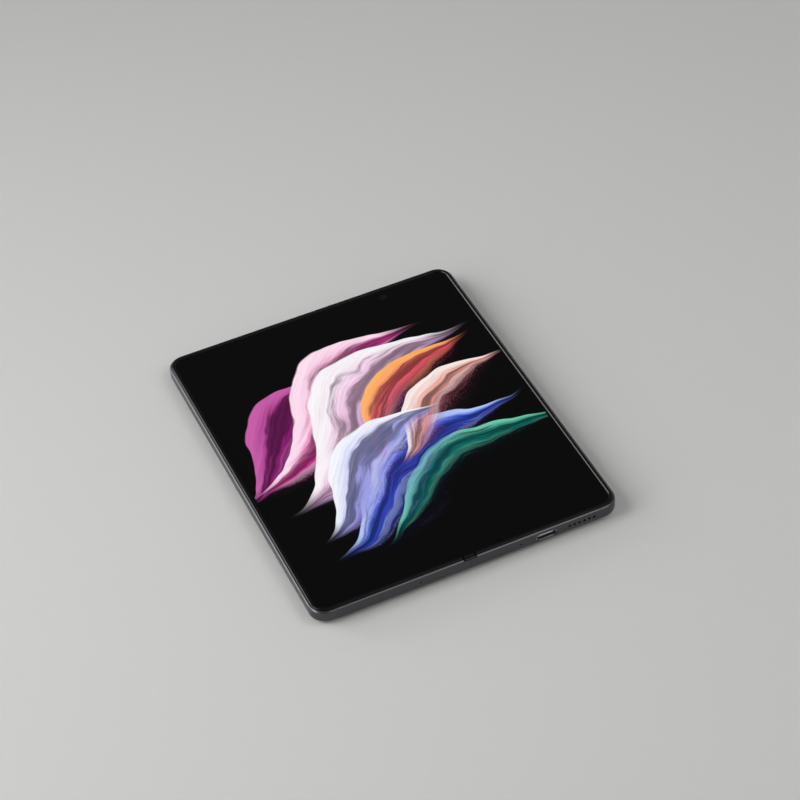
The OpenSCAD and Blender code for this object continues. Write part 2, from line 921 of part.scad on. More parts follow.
module board_screw_holes(points, z0, z1, gap) {
    for (p = points)
        translate([p[0], p[1], z0])
            cylinder(r = screw_r + gap, h = z1 - z0);
}

// Pillars of the frame round the board screws
module board_pillars(points) {
    for (p = points)
        translate([p[0], p[1], z_shield])
            cylinder(r = head_r, h = z_mid - z_shield + midplate_t / 4);
}

module magnets() {
    y = end_y - magnet_end;
    for (s = [-1, 1])
        block([bay_x1 - magnet_w, s * y - magnet_l / 2, z_mid - magnet_t],
            [bay_x1, s * y + magnet_l / 2, z_mid]);
}

// ---------------------------------------------------------------- right half

right_off = rail_off;
right_gear_off = -plane_off;

usb_drop = 1.05;
usb_x = half_w - usb_edge;
usb_z = z_mid - usb_drop;
usb_y1 = end_y - usb_sink;
usb_y0 = usb_y1 - usb_l;
usb_board_edge = 3.4;
usb_room = 0.3;
usb_board_y0 = usb_board_edge - end_y;
usb_board_y1 = usb_board_y0 + usb_board_l;
usb_board_x0 = usb_x - usb_board_w / 2;

main_board_x0 = bay_x0 + board_edge;
main_board_x1 = main_board_x0 + main_board_w;
main_board_y1 = boards_y1;
main_board_y0 = main_board_y1 - main_board_l;
screw_edge = 1.9;
shield_edge = 0.5;
shield_wall = 0.3;
main_screws = [
    [main_board_x0 + screw_edge, main_board_y0 + screw_edge],
    [main_board_x1 - screw_edge, main_board_y0 + screw_edge],
    [main_board_x0 + screw_edge, main_board_y1 - screw_edge],
    [main_board_x1 - screw_edge, main_board_y1 - screw_edge]];
usb_screws = [
    [usb_board_x0 + screw_edge, usb_board_y1 - screw_edge],
    [usb_board_x0 + usb_board_w - screw_edge, usb_board_y1 - screw_edge]];

right_battery_y0 = usb_board_y1 + right_battery_gap;
right_battery_y1 = main_board_y0 - main_board_gap;

flash_seat = 0.4;
camera_ys = [for (i = [0 : 2]) island_y1 - camera_first - i * camera_pitch];

// The camera island's outline, set in by a distance
module island_outline(inset) {
    translate([island_x, (island_y0 + island_y1) / 2])
        rotate(90)
            slot_shape(island_l - 2 * inset, island_w - 2 * inset);
}

module right_frame() {
    color([0.10, 0.10, 0.11])
        difference() {
            union() {
                half_frame(right_off, right_gear_off);
                board_pillars(main_screws);
                board_pillars(usb_screws);
            }
            side_slot(power_l + 2 * key_gap, key_h + 2 * key_gap, power_y, -cut, bay_wall + cut);
            side_slot(volume_l + 2 * key_gap, key_h + 2 * key_gap, volume_y, -cut, bay_wall + cut);
            // USB socket
            translate([usb_x, -end_y - cut, usb_z])
                rotate([-90, 0, 0])
                    linear_extrude(usb_l + usb_sink + cut + usb_room)
                        slot_shape(usb_w + 2 * usb_gap, usb_h + 2 * usb_gap);
            // speaker and microphone holes
            for (i = [0 : grille_count - 1])
                end_hole(grille_x + (i - (grille_count - 1) / 2) * grille_pitch, z_side, grille_r, -1);
            end_hole(mic_x, z_side, mic_r, -1);
            end_hole(mic_x, z_side, mic_r, 1);
            // display's camera
            translate([front_cam_x, front_cam_y, z_mid - cut])
                cylinder(r = front_cam_r + barrel_gap, h = midplate_t + 2 * cut);
            board_screw_holes(concat(main_screws, usb_screws), z_shield - cut,
                z_mid + screw_bite + screw_room, thread_gap);
        }
}

module right_bezel() {
    color([0.03, 0.03, 0.03])
        bezel();
}

module right_display_panel() {
    color([0.02, 0.02, 0.03])
        panel();
}

module right_support_plate() {
    color([0.55, 0.56, 0.58])
        difference() {
            support_plate();
            translate([front_cam_x, front_cam_y, z_plate - cut])
                cylinder(r = front_cam_r + barrel_gap, h = plate_t + 2 * cut);
        }
}

module right_wing_plate() {
    color([0.60, 0.61, 0.63])
        wing_plate();
}

module right_hinge_brackets() {
    color([0.66, 0.67, 0.69])
        hinge_brackets(right_off, right_gear_off, 0);
}

module right_hinge_screws() {
    color([0.45, 0.45, 0.47])
        hinge_screws(right_off, right_gear_off);
}

module rear_glass() {
    color([0.05, 0.05, 0.055])
        difference() {
            glass();
            translate([0, 0, z_back - cut])
                linear_extrude(glass_t + 2 * cut)
                    island_outline(island_step - glass_gap);
        }
}

module camera_island() {
    color([0.12, 0.12, 0.13])
        difference() {
            union() {
                translate([0, 0, island_bevel])
                    linear_extrude(island_h - island_bevel)
                        island_outline(0);
                linear_extrude(island_h)
                    island_outline(island_bevel);
                translate([0, 0, island_h / 2])
                    linear_extrude(z_glass - island_h / 2)
                        island_outline(island_step);
            }
            for (y = camera_ys)
                translate([island_x, y, -cut]) {
                    cylinder(r = window_r + window_gap, h = window_sink + window_t + cut);
                    cylinder(r = barrel_r + barrel_gap, h = z_glass + 2 * cut);
                }
            translate([island_x, island_y0 + flash_end, -cut]) {
                cylinder(r = flash_r + window_gap, h = window_sink + window_t + cut);
                cylinder(r = flash_r - flash_seat, h = z_glass + 2 * cut);
            }
        }
}

module camera_windows() {
    color([0.02, 0.02, 0.03])
        for (y = camera_ys)
            translate([island_x, y, window_sink])
                cylinder(r = window_r, h = window_t);
}

// Barrel and module body of one rear camera
module rear_camera(y) {
    body_z = z_mid - camera_h;
    translate([island_x, y, 0]) {
        translate([0, 0, window_sink + window_t])
            cylinder(r = barrel_r, h = body_z + camera_h / 2 - window_sink - window_t);
        translate([-camera_side / 2, -camera_side / 2, body_z])
            cube([camera_side, camera_side, camera_h]);
    }
}

module rear_cameras() {
    color([0.16, 0.16, 0.17])
        for (y = camera_ys)
            rear_camera(y);
}

module flash_lens() {
    color([0.95, 0.93, 0.80])
        translate([island_x, island_y0 + flash_end, window_sink])
            cylinder(r = flash_r, h = window_t);
}

module display_camera() {
    color([0.10, 0.10, 0.12])
        translate([front_cam_x, front_cam_y, 0]) {
            translate([-front_cam_side / 2, -front_cam_side / 2, z_mid - front_cam_h])
                cube([front_cam_side, front_cam_side, front_cam_h]);
            translate([0, 0, z_mid - front_cam_h / 2])
                cylinder(r = front_cam_r, h = z_panel - z_mid + front_cam_h / 2);
        }
}

module main_board() {
    color([0.04, 0.12, 0.08])
        difference() {
            round_slab(main_board_x0, main_board_x1, main_board_y0, main_board_y1, z_board, board_t,
                board_corner);
            board_screw_holes(main_screws, z_board - cut, z_shield + cut, board_gap);
        }
}

// The shield's outer form, or with a wall and a drop the room inside it
module shield_slab(wall, drop) {
    round_slab(main_board_x0 + shield_edge + wall, main_board_x1 - shield_edge - wall,
        main_board_y0 + 2 * screw_edge + wall, main_board_y1 - 2 * screw_edge - wall,
        z_shield - drop, shield_h + drop - wall, board_corner - wall);
}

module main_board_shield() {
    color([0.72, 0.73, 0.74])
        difference() {
            shield_slab(0, 0);
            shield_slab(shield_wall, cut);
        }
}

module right_board_screws() {
    color([0.55, 0.55, 0.57])
        board_screws(concat(main_screws, usb_screws));
}

module right_battery() {
    color([0.20, 0.20, 0.22])
        cell(bay_x0 + battery_gap, bay_x1 - battery_gap, right_battery_y0, right_battery_y1,
            right_battery_t);
}

module charging_coil() {
    color([0.72, 0.42, 0.22])
        translate([(bay_x0 + bay_x1) / 2, (right_battery_y0 + right_battery_y1) / 2,
            z_mid - right_battery_t - coil_t])
            difference() {
                cylinder(r = coil_r, h = coil_t);
                translate([0, 0, -cut])
                    cylinder(r = coil_r_in, h = coil_t + 2 * cut);
            }
}

module usb_socket() {
    color([0.70, 0.71, 0.73])
        translate([usb_x, -usb_y1, usb_z])
            rotate([-90, 0, 0]) {
                difference() {
                    linear_extrude(usb_l)
                        slot_shape(usb_w, usb_h);
                    translate([0, 0, -cut])
                        linear_extrude(usb_l + cut - usb_wall)
                            slot_shape(usb_w - 2 * usb_wall, usb_h - 2 * usb_wall);
                }
                translate([-tongue_w / 2, -tongue_t / 2, tongue_sink])
                    cube([tongue_w, tongue_t, usb_l - tongue_sink - usb_wall / 2]);
            }
}

module usb_board() {
    color([0.04, 0.12, 0.08])
        difference() {
            round_slab(usb_board_x0, usb_board_x0 + usb_board_w, usb_board_y0, usb_board_y1, z_board,
                board_t, board_corner);
            // the socket sinks through the board
            block([usb_x - usb_w / 2 - board_gap, -end_y, z_board - cut],
                [usb_x + usb_w / 2 + board_gap, board_gap - usb_y0, z_shield + cut]);
            board_screw_holes(usb_screws, z_board - cut, z_shield + cut, board_gap);
        }
}

module bottom_speaker() {
    color([0.09, 0.09, 0.10])
        round_slab(grille_x - speaker_w / 2, grille_x + speaker_w / 2, -bay_y,
            speaker_l - bay_y, z_mid - bottom_speaker_t, bottom_speaker_t, board_corner);
}

motor_gap = 0.7;

module vibration_motor() {
    color([0.65, 0.66, 0.68])
        round_slab(bay_x0 + motor_gap, bay_x0 + motor_gap + motor_w, motor_gap - bay_y,
            motor_gap - bay_y + motor_l, z_mid - motor_t, motor_t, board_corner);
}

switch_gap = 0.1;
switch_x1 = half_w - key_depth - key_travel - switch_gap;

module key_switches() {
    color([0.75, 0.74, 0.70])
        for (y = [power_y, volume_y - volume_l / 3, volume_y + volume_l / 3])
            block([switch_x1 - switch_t, y - switch_l / 2, z_side - key_h / 2 - key_gap],
                [switch_x1, y + switch_l / 2, z_side + key_h / 2 - key_gap]);
}

module right_antenna_breaks() {
    color([0.20, 0.20, 0.21])
        breaks();
}

module right_magnets() {
    color([0.60, 0.60, 0.62])
        magnets();
}

module power_key() {
    color([0.13, 0.13, 0.14])
        side_slot(power_l, key_h, power_y, -power_proud, key_depth);
}

module volume_rocker() {
    color([0.13, 0.13, 0.14])
        side_slot(volume_l, key_h, volume_y, -volume_proud, key_depth);
}

// ---------------------------------------------------------------- spine

bracket_fit = 0.05;
spine_screw_r = 0.5;
spine_head_r = 0.85;
spine_head_h = 0.35;
spine_bite = 0.3;
spine_screw_edge = 1.2;
spine_screw_off = bracket_len / 2 - spine_screw_edge;
shaft_end = 0.1;
shaft_half = set_half + bearing_t + washer_len + shaft_end;
stem_gap = 0.08;
stem_y = end_y - strip_inset + stem_gap;

module spine_cover() {
    color([0.09, 0.09, 0.10])
        difference() {
            along_fold(-spine_end_y, spine_end_y)
                difference() {
                    spine_shape(spine_r, z_spine_edge);
                    spine_shape(spine_r_in, z_top);
                }
            for (y = spine_screw_ys())
                translate([0, y, z_spine_floor - spine_bite - thread_gap])
                    cylinder(r = spine_screw_r + thread_gap, h = cut);
        }
}

function spine_screw_ys() = [for (y = stations) for (s = [-1, 1]) y + s * spine_screw_off];

// The outline that an end cap's head keeps within, seen in section
module cap_profile() {
    frame_profile();
    rim_profile();
    translate([frame_wall, z_land])
        square([rim_reach - frame_wall, z_face + rim_gap - z_land]);
}

module spine_end_caps() {
    z_head = z_top - cap_sink - cap_t;
    color([0.05, 0.05, 0.055])
        for (s = [0, 1])
            mirror([0, s, 0]) {
                // head over the end wall and lip over the display's end, in line with the edge
                intersection() {
                    translate([-axis_x, end_y, 0])
                        rotate([90, 0, 90])
                            linear_extrude(2 * axis_x)
                                mirror([1, 0])
                                    cap_profile();
                    union() {
                        block([-axis_x, stem_y, z_head], [axis_x, end_y, z_head + cap_t]);
                        block([-axis_x, end_y - rim_reach - cut, z_face + rim_gap],
                            [axis_x, end_y, z_head + cap_t]);
                    }
                }
                // stem down into the spine
                block([-cap_stem_half, stem_y, z_bracket_top - spine_gap],
                    [cap_stem_half, spine_end_y, z_head + cap_t / 2]);
                // plate that closes the spine's end
                along_fold(spine_end_y - cap_plate_t, spine_end_y)
                    intersection() {
                        spine_shape(spine_r_in - bracket_fit, z_bracket_top);
                        translate([-axis_x - spine_r, z_spine_floor])
                            square([2 * (axis_x + spine_r), spine_r]);
                    }
            }
}

// Bracket block from y0 to y1, seated on the spine's floor
module bracket_block(y0, y1) {
    along_fold(y0, y1)
        intersection() {
            union() {
                spine_shape(spine_r_in - bracket_fit, z_bracket_top);
                translate([-axis_x + bracket_fit, z_spine_floor])
                    square([2 * (axis_x - bracket_fit), spine_r / 2]);
            }
            translate([-axis_x - spine_r, z_spine_floor])
                square([2 * (axis_x + spine_r), z_bracket_top - z_spine_floor]);
        }
}

module spine_brackets() {
    color([0.50, 0.51, 0.53]) {
        // rail stations
        for (y = stations)
            difference() {
                bracket_block(y - bracket_len / 2, y + bracket_len / 2);
                for (s = [-1, 1])
                    translate([s * axis_x, 0, z_axis])
                        along_fold(y + s * rail_off - rail_w / 2 - rail_side_gap,
                            y + s * rail_off + rail_w / 2 + rail_side_gap)
                            difference() {
                                circle(rail_r_in + rail_r_t + rail_gap);
                                circle(rail_r_in - rail_gap);
                            }
                for (s = [-1, 1])
                    translate([0, y + s * spine_screw_off, z_spine_floor - cut]) {
                        cylinder(r = spine_screw_r + hole_gap, h = 2 * spine_r);
                        translate([0, 0, z_bracket_top - spine_head_h - z_spine_floor + cut])
                            cylinder(r = spine_head_r + hole_gap, h = spine_r);
                    }
            }
        // bearing walls of the gear sets
        for (y = gear_sets)
            for (s = [-1, 1])
                difference() {
                    bracket_block(y + s * (set_half + bearing_t / 2) - bearing_t / 2,
                        y + s * (set_half + bearing_t / 2) + bearing_t / 2);
                    for (n = shaft_places(s))
                        translate([n * gear_r, y + s * (set_half + bearing_t / 2), z_gear])
                            rotate([90, 0, 0])
                                cylinder(r = shaft_r + shaft_gap, h = bearing_t + 2 * cut,
                                    center = true);
                }
    }
}

module spine_screws() {
    color([0.60, 0.60, 0.62])
        for (y = spine_screw_ys())
            translate([0, y, 0]) {
                translate([0, 0, z_spine_floor - spine_bite])
                    cylinder(r = spine_screw_r,
                        h = z_bracket_top - spine_head_h / 2 - z_spine_floor + spine_bite);
                translate([0, 0, z_bracket_top - spine_head_h])
                    cylinder(r = spine_head_r, h = spine_head_h);
            }
}

// Shafts that reach the bearing wall on side s, in gear radii from the fold line:
// both pinions' and, clear of their own half's sector gear, the idlers' of the other half
function shaft_places(s) = [-5, s, 3 * s, 5];

module gear_shafts() {
    color([0.78, 0.79, 0.80])
        for (y = gear_sets)
            for (n = [-5, -3, -1, 1, 3, 5])
                translate([n * gear_r, 0, z_gear])
                    along_fold(y - (len(search(n, shaft_places(-1))) > 0 ? shaft_half : middle_y),
                        y + (len(search(n, shaft_places(1))) > 0 ? shaft_half : middle_y))
                        circle(shaft_r);
}

module spring_washers() {
    color([0.70, 0.70, 0.72])
        for (y = gear_sets)
            for (s = [-1, 1])
                for (n = shaft_places(s))
                    translate([n * gear_r, y + s * (set_half + bearing_t + washer_len / 2), z_gear])
                        rotate([90, 0, 0])
                            difference() {
                                cylinder(r = washer_r, h = washer_len, center = true);
                                cylinder(r = shaft_r + shaft_gap, h = washer_len + cut,
                                    center = true);
                            }
}

module display_fold_strip() {
    color([0.02, 0.02, 0.03])
        block([panel_gap / 5 - strip_half, strip_inset - end_y, z_panel],
            [strip_half - panel_gap / 5, end_y - strip_inset, z_face]);
}

module fold_cables() {
    color([0.55, 0.30, 0.12])
        for (s = [-1, 1])
            block([-flex_reach, s * flex_y - flex_w / 2, z_flex],
                [flex_reach, s * flex_y + flex_w / 2, z_flex + flex_t]);
}

pinion_y0 = -set_half + gear_side_gap;
middle_y = gear_w / 2;
half_pitch = 180 / gear_teeth;

module right_pinion() {
    color([0.80, 0.72, 0.45])
        gear_pair(5, 0, pinion_y0, middle_y);
}

module right_outer_idler() {
    color([0.80, 0.72, 0.45])
        gear_pair(3, half_pitch, -middle_y, middle_y);
}

module right_inner_idler() {
    color([0.80, 0.72, 0.45])
        gear_pair(1, 0, -middle_y, middle_y);
}

module left_inner_idler() {
    color([0.80, 0.72, 0.45])
        gear_pair(-1, half_pitch, -middle_y, middle_y);
}

module left_outer_idler() {
    color([0.80, 0.72, 0.45])
        gear_pair(-3, 0, -middle_y, middle_y);
}

module left_pinion() {
    color([0.80, 0.72, 0.45])
        gear_pair(-5, half_pitch, -middle_y, -pinion_y0);
}

// ---------------------------------------------------------------- left half

left_off = -rail_off;
left_gear_off = plane_off;

left_board_x0 = bay_x0 + board_edge;
left_board_x1 = left_board_x0 + left_board_w;
left_board_y1 = boards_y1;
left_board_y0 = left_board_y1 - left_board_l;
left_screws = [
    [left_board_x0 + screw_edge, left_board_y0 + screw_edge],
    [left_board_x1 - screw_edge, left_board_y0 + screw_edge],
    [left_board_x0 + screw_edge, left_board_y1 - screw_edge]];

reader_end = 1;
reader_gap = 0.2;
reader_y0 = tray_y - tray_w / 2 - tray_gap - reader_wall;
reader_y1 = tray_y + tray_w / 2 + tray_gap + reader_wall;
card_edge = 1.5;
card_wall = 1.3;

// Everything on the left half is drawn on the right and mirrored
module on_left() {
    mirror([1, 0, 0])
        children();
}

module left_frame() {
    color([0.10, 0.10, 0.11])
        on_left()
            difference() {
                union() {
                    half_frame(left_off, left_gear_off);
                    board_pillars(left_screws);
                }
                side_slot(tray_face_l + 2 * tray_gap, tray_face_h + 2 * tray_gap, tray_y, -cut,
                    bay_wall + cut);
                for (i = [0 : grille_count - 1])
                    end_hole(grille_x + (i - (grille_count - 1) / 2) * grille_pitch, z_side, grille_r, 1);
                end_hole(mic_x, z_side, mic_r, -1);
                board_screw_holes(left_screws, z_shield - cut, z_mid + screw_bite + screw_room,
                    thread_gap);
            }
}

module left_bezel() {
    color([0.03, 0.03, 0.03])
        on_left()
            bezel();
}

module left_display_panel() {
    color([0.02, 0.02, 0.03])
        on_left()
            panel();
}

module left_support_plate() {
    color([0.55, 0.56, 0.58])
        on_left()
            support_plate();
}

module left_wing_plate() {
    color([0.60, 0.61, 0.63])
        on_left()
            wing_plate();
}

module left_hinge_brackets() {
    color([0.66, 0.67, 0.69])
        on_left()
            hinge_brackets(left_off, left_gear_off, half_pitch);
}

module left_hinge_screws() {
    color([0.45, 0.45, 0.47])
        on_left()
            hinge_screws(left_off, left_gear_off);
}

module cover_glass() {
    color([0.03, 0.03, 0.035])
        on_left()
            glass();
}

module cover_display_panel() {
    color([0.05, 0.05, 0.07])
        on_left()
            difference() {
                translate([0, 0, z_glass])
                    linear_extrude(cover_panel_t)
                        outline(bay_wall + cover_panel_gap, bay_x0 + cover_panel_gap);
                translate([front_cam_x, front_cam_y, z_glass - cut])
                    cylinder(r = front_cam_r + barrel_gap, h = cover_panel_t + 2 * cut);
            }
}

z_cover_camera = z_glass + cover_panel_t + barrel_gap;

module cover_camera() {
    color([0.10, 0.10, 0.12])
        on_left()
            translate([front_cam_x, front_cam_y, 0]) {
                translate([0, 0, z_glass])
                    cylinder(r = front_cam_r, h = z_mid - z_glass);
                translate([-front_cam_side / 2, -front_cam_side / 2, z_cover_camera])
                    cube([front_cam_side, front_cam_side, z_mid - z_cover_camera]);
            }
}

module left_board() {
    color([0.04, 0.12, 0.08])
        on_left()
            difference() {
                round_slab(left_board_x0, left_board_x1, left_board_y0, left_board_y1, z_board, board_t,
                    board_corner);
                board_screw_holes(left_screws, z_board - cut, z_shield + cut, board_gap);
            }
}

module left_board_screws() {
    color([0.55, 0.55, 0.57])
        on_left()
            board_screws(left_screws);
}

module left_battery() {
    color([0.20, 0.20, 0.22])
        on_left()
            cell(bay_x0 + battery_gap, bay_x1 - battery_gap, left_battery_end - end_y,
                reader_y0 - left_battery_gap, left_battery_t);
}

module top_speaker() {
    color([0.09, 0.09, 0.10])
        on_left()
            round_slab(grille_x - speaker_w / 2, grille_x + speaker_w / 2, bay_y - speaker_l,
                bay_y, z_mid - top_speaker_t, top_speaker_t, board_corner);
}

module card_reader() {
    x0 = half_w - tray_reach - reader_end;
    x1 = bay_x1 - reader_gap;
    w = reader_wall;
    color([0.74, 0.75, 0.76])
        on_left()
            difference() {
                block([x0, reader_y0, z_tray - tray_gap - w], [x1, reader_y1, z_mid]);
                block([x0 + w, reader_y0 + w, z_tray - tray_gap],
                    [x1 + cut, reader_y1 - w, z_tray + tray_t + tray_gap]);
            }
}

module card_tray() {
    color([0.11, 0.11, 0.12])
        on_left()
            difference() {
                union() {
                    side_slot(tray_face_l, tray_face_h, tray_y, 0, tray_face_t);
                    block([half_w - tray_reach, tray_y - tray_w / 2, z_tray],
                        [half_w - tray_face_t / 2, tray_y + tray_w / 2, z_tray + tray_t]);
                }
                for (i = [0, 1])
                    translate([half_w - tray_reach + card_edge + i * (card_l + card_wall), tray_y, z_tray])
                        block([0, -card_w / 2, tray_t - card_t], [card_l, card_w / 2, tray_t + cut]);
                translate([half_w, tray_y + tray_face_l / 2 - tray_face_h / 2, z_side])
                    rotate([0, 90, 0])
                        cylinder(r = eject_r, h = 4 * tray_face_t, center = true);
            }
}

module left_antenna_breaks() {
    color([0.20, 0.20, 0.21])
        on_left()
            breaks();
}

module left_magnets() {
    color([0.60, 0.60, 0.62])
        on_left()
            magnets();
}

right_frame();
right_bezel();
right_display_panel();
right_support_plate();
right_wing_plate();
right_hinge_brackets();
right_hinge_screws();
rear_glass();
camera_island();
camera_windows();
rear_cameras();
flash_lens();
display_camera();
main_board();
main_board_shield();
right_board_screws();
right_battery();
charging_coil();
usb_socket();
usb_board();
bottom_speaker();
vibration_motor();
key_switches();
right_antenna_breaks();
right_magnets();
power_key();
volume_rocker();
spine_cover();
spine_end_caps();
spine_brackets();
spine_screws();
gear_shafts();
spring_washers();
display_fold_strip();
fold_cables();
right_pinion();
right_outer_idler();
right_inner_idler();
left_inner_idler();
left_outer_idler();
left_pinion();
left_frame();
left_bezel();
left_display_panel();
left_support_plate();
left_wing_plate();
left_hinge_brackets();
left_hinge_screws();
cover_glass();
cover_display_panel();
cover_camera();
left_board();
left_board_screws();
left_battery();
top_speaker();
card_reader();
card_tray();
left_antenna_breaks();
left_magnets();
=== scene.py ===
"""Foldable smartphone, lying open with its inner display on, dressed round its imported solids.

The phone lies flat: X runs across the open phone, Y along the fold to its top, Z up out of the
inner display. Every piece keeps its place in its mesh, in metres, in that frame.
"""

from __future__ import annotations

import logging
import math
from dataclasses import dataclass, field
from enum import Enum
from functools import reduce
from typing import Any

import bmesh
import bpy
import numpy as np
from mathutils import Matrix, Vector

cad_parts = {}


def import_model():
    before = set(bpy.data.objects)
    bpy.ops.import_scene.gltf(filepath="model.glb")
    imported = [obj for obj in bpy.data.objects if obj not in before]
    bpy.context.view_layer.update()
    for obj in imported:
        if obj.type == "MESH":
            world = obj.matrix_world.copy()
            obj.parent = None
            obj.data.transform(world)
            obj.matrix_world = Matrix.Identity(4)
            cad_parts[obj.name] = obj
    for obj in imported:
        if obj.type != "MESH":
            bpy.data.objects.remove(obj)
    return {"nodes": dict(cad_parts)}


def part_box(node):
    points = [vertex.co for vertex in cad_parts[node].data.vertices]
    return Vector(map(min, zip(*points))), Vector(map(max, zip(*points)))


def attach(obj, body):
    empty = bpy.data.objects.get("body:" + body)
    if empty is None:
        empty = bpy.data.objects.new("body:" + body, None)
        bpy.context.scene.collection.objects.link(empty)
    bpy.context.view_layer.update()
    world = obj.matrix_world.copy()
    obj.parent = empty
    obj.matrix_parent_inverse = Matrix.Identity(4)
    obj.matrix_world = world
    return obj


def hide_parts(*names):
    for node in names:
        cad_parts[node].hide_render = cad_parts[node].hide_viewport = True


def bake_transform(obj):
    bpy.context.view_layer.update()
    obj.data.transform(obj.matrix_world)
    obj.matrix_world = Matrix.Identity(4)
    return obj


log = logging.getLogger("foldable_phone")
Array = np.ndarray
Colour = tuple[float, float, float]

MM = 0.001  # metres
SMOOTH_ANGLE = math.radians(35)  # an edge that turns by more stays sharp


# ---------------------------------------------------------------------------- shader maths


class Signal:
    """One output of a shader node. Python's operators on it add Math nodes."""

    def __init__(self, graph: Graph, socket: bpy.types.NodeSocket) -> None:
        """Keeps the graph and the socket."""
        self.graph = graph
        self.socket = socket

    def _math(self, operation: str, *values: Any) -> Signal:
        """Adds a Math node on these values and returns its output."""
        inputs = dict(enumerate(values))
        return self.graph.node("ShaderNodeMath", {"operation": operation}, inputs)

    def __add__(self, other: Any) -> Signal:
        """Sum."""
        return self._math("ADD", self, other)

    __radd__ = __add__

    def __sub__(self, other: Any) -> Signal:
        """Difference."""
        return self._math("SUBTRACT", self, other)

    def __rsub__(self, other: Any) -> Signal:
        """Difference from a number."""
        return self._math("SUBTRACT", other, self)

    def __mul__(self, other: Any) -> Signal:
        """Product."""
        return self._math("MULTIPLY", self, other)

    __rmul__ = __mul__

    def __truediv__(self, other: Any) -> Signal:
        """Quotient."""
        return self._math("DIVIDE", self, other)

    def __abs__(self) -> Signal:
        """Distance from nought."""
        return self._math("ABSOLUTE", self)

    def sin(self) -> Signal:
        """Sine of an angle in radians."""
        return self._math("SINE", self)

    def root(self) -> Signal:
        """Square root."""
        return self._math("SQRT", self)

    def least(self, other: Any) -> Signal:
        """The smaller of two values."""
        return self._math("MINIMUM", self, other)

    def most(self, other: Any) -> Signal:
        """The larger of two values."""
        return self._math("MAXIMUM", self, other)

    def step(self, low: float, high: float) -> Signal:
        """Smooth step.

        Args:
            low: value at which the result is 0.
            high: value at which the result is 1; it may lie below low.

        Returns:
            A signal from 0 to 1.
        """
        if high < low:
            return 1 - self.step(high, low)
        return self.graph.node(
            "ShaderNodeMapRange",
            {"interpolation_type": "SMOOTHSTEP"},
            {"Value": self, "From Min": low, "From Max": high},
        )


class Graph:
    """The node tree of a material or of the world."""

    def __init__(self, owner: bpy.types.Material | bpy.types.World) -> None:
        """Empties the owner's tree."""
        self.owner = owner
        owner.use_nodes = True
        self.tree = owner.node_tree
        self.tree.nodes.clear()

    @classmethod
    def material(cls, name: str) -> Graph:
        """The tree of a new material."""
        return cls(bpy.data.materials.new(name))

    def node(
        self,
        kind: str,
        settings: dict[str, Any] | None = None,
        inputs: dict[str | int, Any] | None = None,
        output: str | int = 0,
    ) -> Signal:
        """Adds any node.

        Args:
            kind: Blender's node type.
            settings: properties of the node, set first; "stops" holds a ramp's colour stops,
                lowest first.
            inputs: values or signals of its sockets, by name or number.
            output: the socket to return, by name or number.

        Returns:
            One output of the node.
        """
        made = self.tree.nodes.new(kind)
        for key, value in (settings or {}).items():
            if key == "stops":
                ramp = made.color_ramp.elements
                while len(ramp) < len(value):
                    ramp.new(1.0)
                for element, (place, colour) in zip(ramp, value):
                    element.position = place
                    element.color = (*colour, 1.0)
            else:
                setattr(made, key, value)
        for key, value in (inputs or {}).items():
            if isinstance(value, Signal):
                self.tree.links.new(value.socket, made.inputs[key])
            else:
                socket = made.inputs[key]
                if socket.type == "RGBA" and len(value) == 3:
                    value = (*value, 1.0)
                socket.default_value = value
        return Signal(self, made.outputs[output])

    def place(self, flat: bool = False) -> Signal:
        """The point of the surface.

        Args:
            flat: True reads the piece's own plan map, which stays put where the piece bends.

        Returns:
            The point in metres.
        """
        return self.node("ShaderNodeTexCoord", output="UV" if flat else "Object")

    def part(self, vector: Signal, axis: int) -> Signal:
        """One part of a vector: 0 for X, 1 for Y, 2 for Z."""
        return self.node("ShaderNodeSeparateXYZ", inputs={0: vector}, output=axis)

    def plan(self, flat: bool = False) -> tuple[Signal, Signal]:
        """X and Y of the point of the surface in millimetres, with flat as in place."""
        point = self.place(flat)
        return self.part(point, 0) * (1 / MM), self.part(point, 1) * (1 / MM)

    def join(self, x: Any, y: Any, z: Any = 0.0) -> Signal:
        """A vector from its three parts."""
        return self.node("ShaderNodeCombineXYZ", inputs={0: x, 1: y, 2: z})

    def noise(self, vector: Signal, scale: float, detail: float = 2.0, rough: float = 0.5) -> Signal:
        """Noise from 0 to 1 on a vector, at a scale in cycles per unit."""
        return self.node(
            "ShaderNodeTexNoise",
            inputs={"Vector": vector, "Scale": scale, "Detail": detail, "Roughness": rough},
        )

    def stretch(self, vector: Signal, factors: tuple[float, float, float]) -> Signal:
        """A vector times a factor in each direction."""
        return self.node("ShaderNodeVectorMath", {"operation": "MULTIPLY"}, {0: vector, 1: factors})

    def mix(self, share: Any, a: Any, b: Any) -> Signal:
        """Colour b over colour a by a share."""
        inputs = {0: share, 6: a, 7: b}
        return self.node("ShaderNodeMix", {"data_type": "RGBA"}, inputs, output=2)

    def bump(self, height: Signal, distance: float, strength: float = 1.0) -> Signal:
        """A normal from a height signal, at a distance in metres."""
        inputs = {"Height": height, "Distance": distance, "Strength": strength}
        return self.node("ShaderNodeBump", inputs=inputs)

    def finish(self, **inputs: Any) -> bpy.types.Material:
        """Ends the tree with a Principled shader.

        Args:
            inputs: its sockets, with _ for a space in their names.

        Returns:
            The material.
        """
        named = {key.replace("_", " "): value for key, value in inputs.items()}
        self.end("ShaderNodeOutputMaterial", self.node("ShaderNodeBsdfPrincipled", inputs=named))
        return self.owner

    def end(self, kind: str, shader: Signal) -> None:
        """Links a shader to a new output node of this kind."""
        made = self.tree.nodes.new(kind)
        self.tree.links.new(shader.socket, made.inputs["Surface"])


def distance(x: Signal, y: Signal, centre: tuple[float, float]) -> Signal:
    """Distance of (x, y) from a centre: the root of the sum of both squares."""
    dx, dy = x - centre[0], y - centre[1]
    return (dx * dx + dy * dy).root()


# ---------------------------------------------------------------------------- finishes


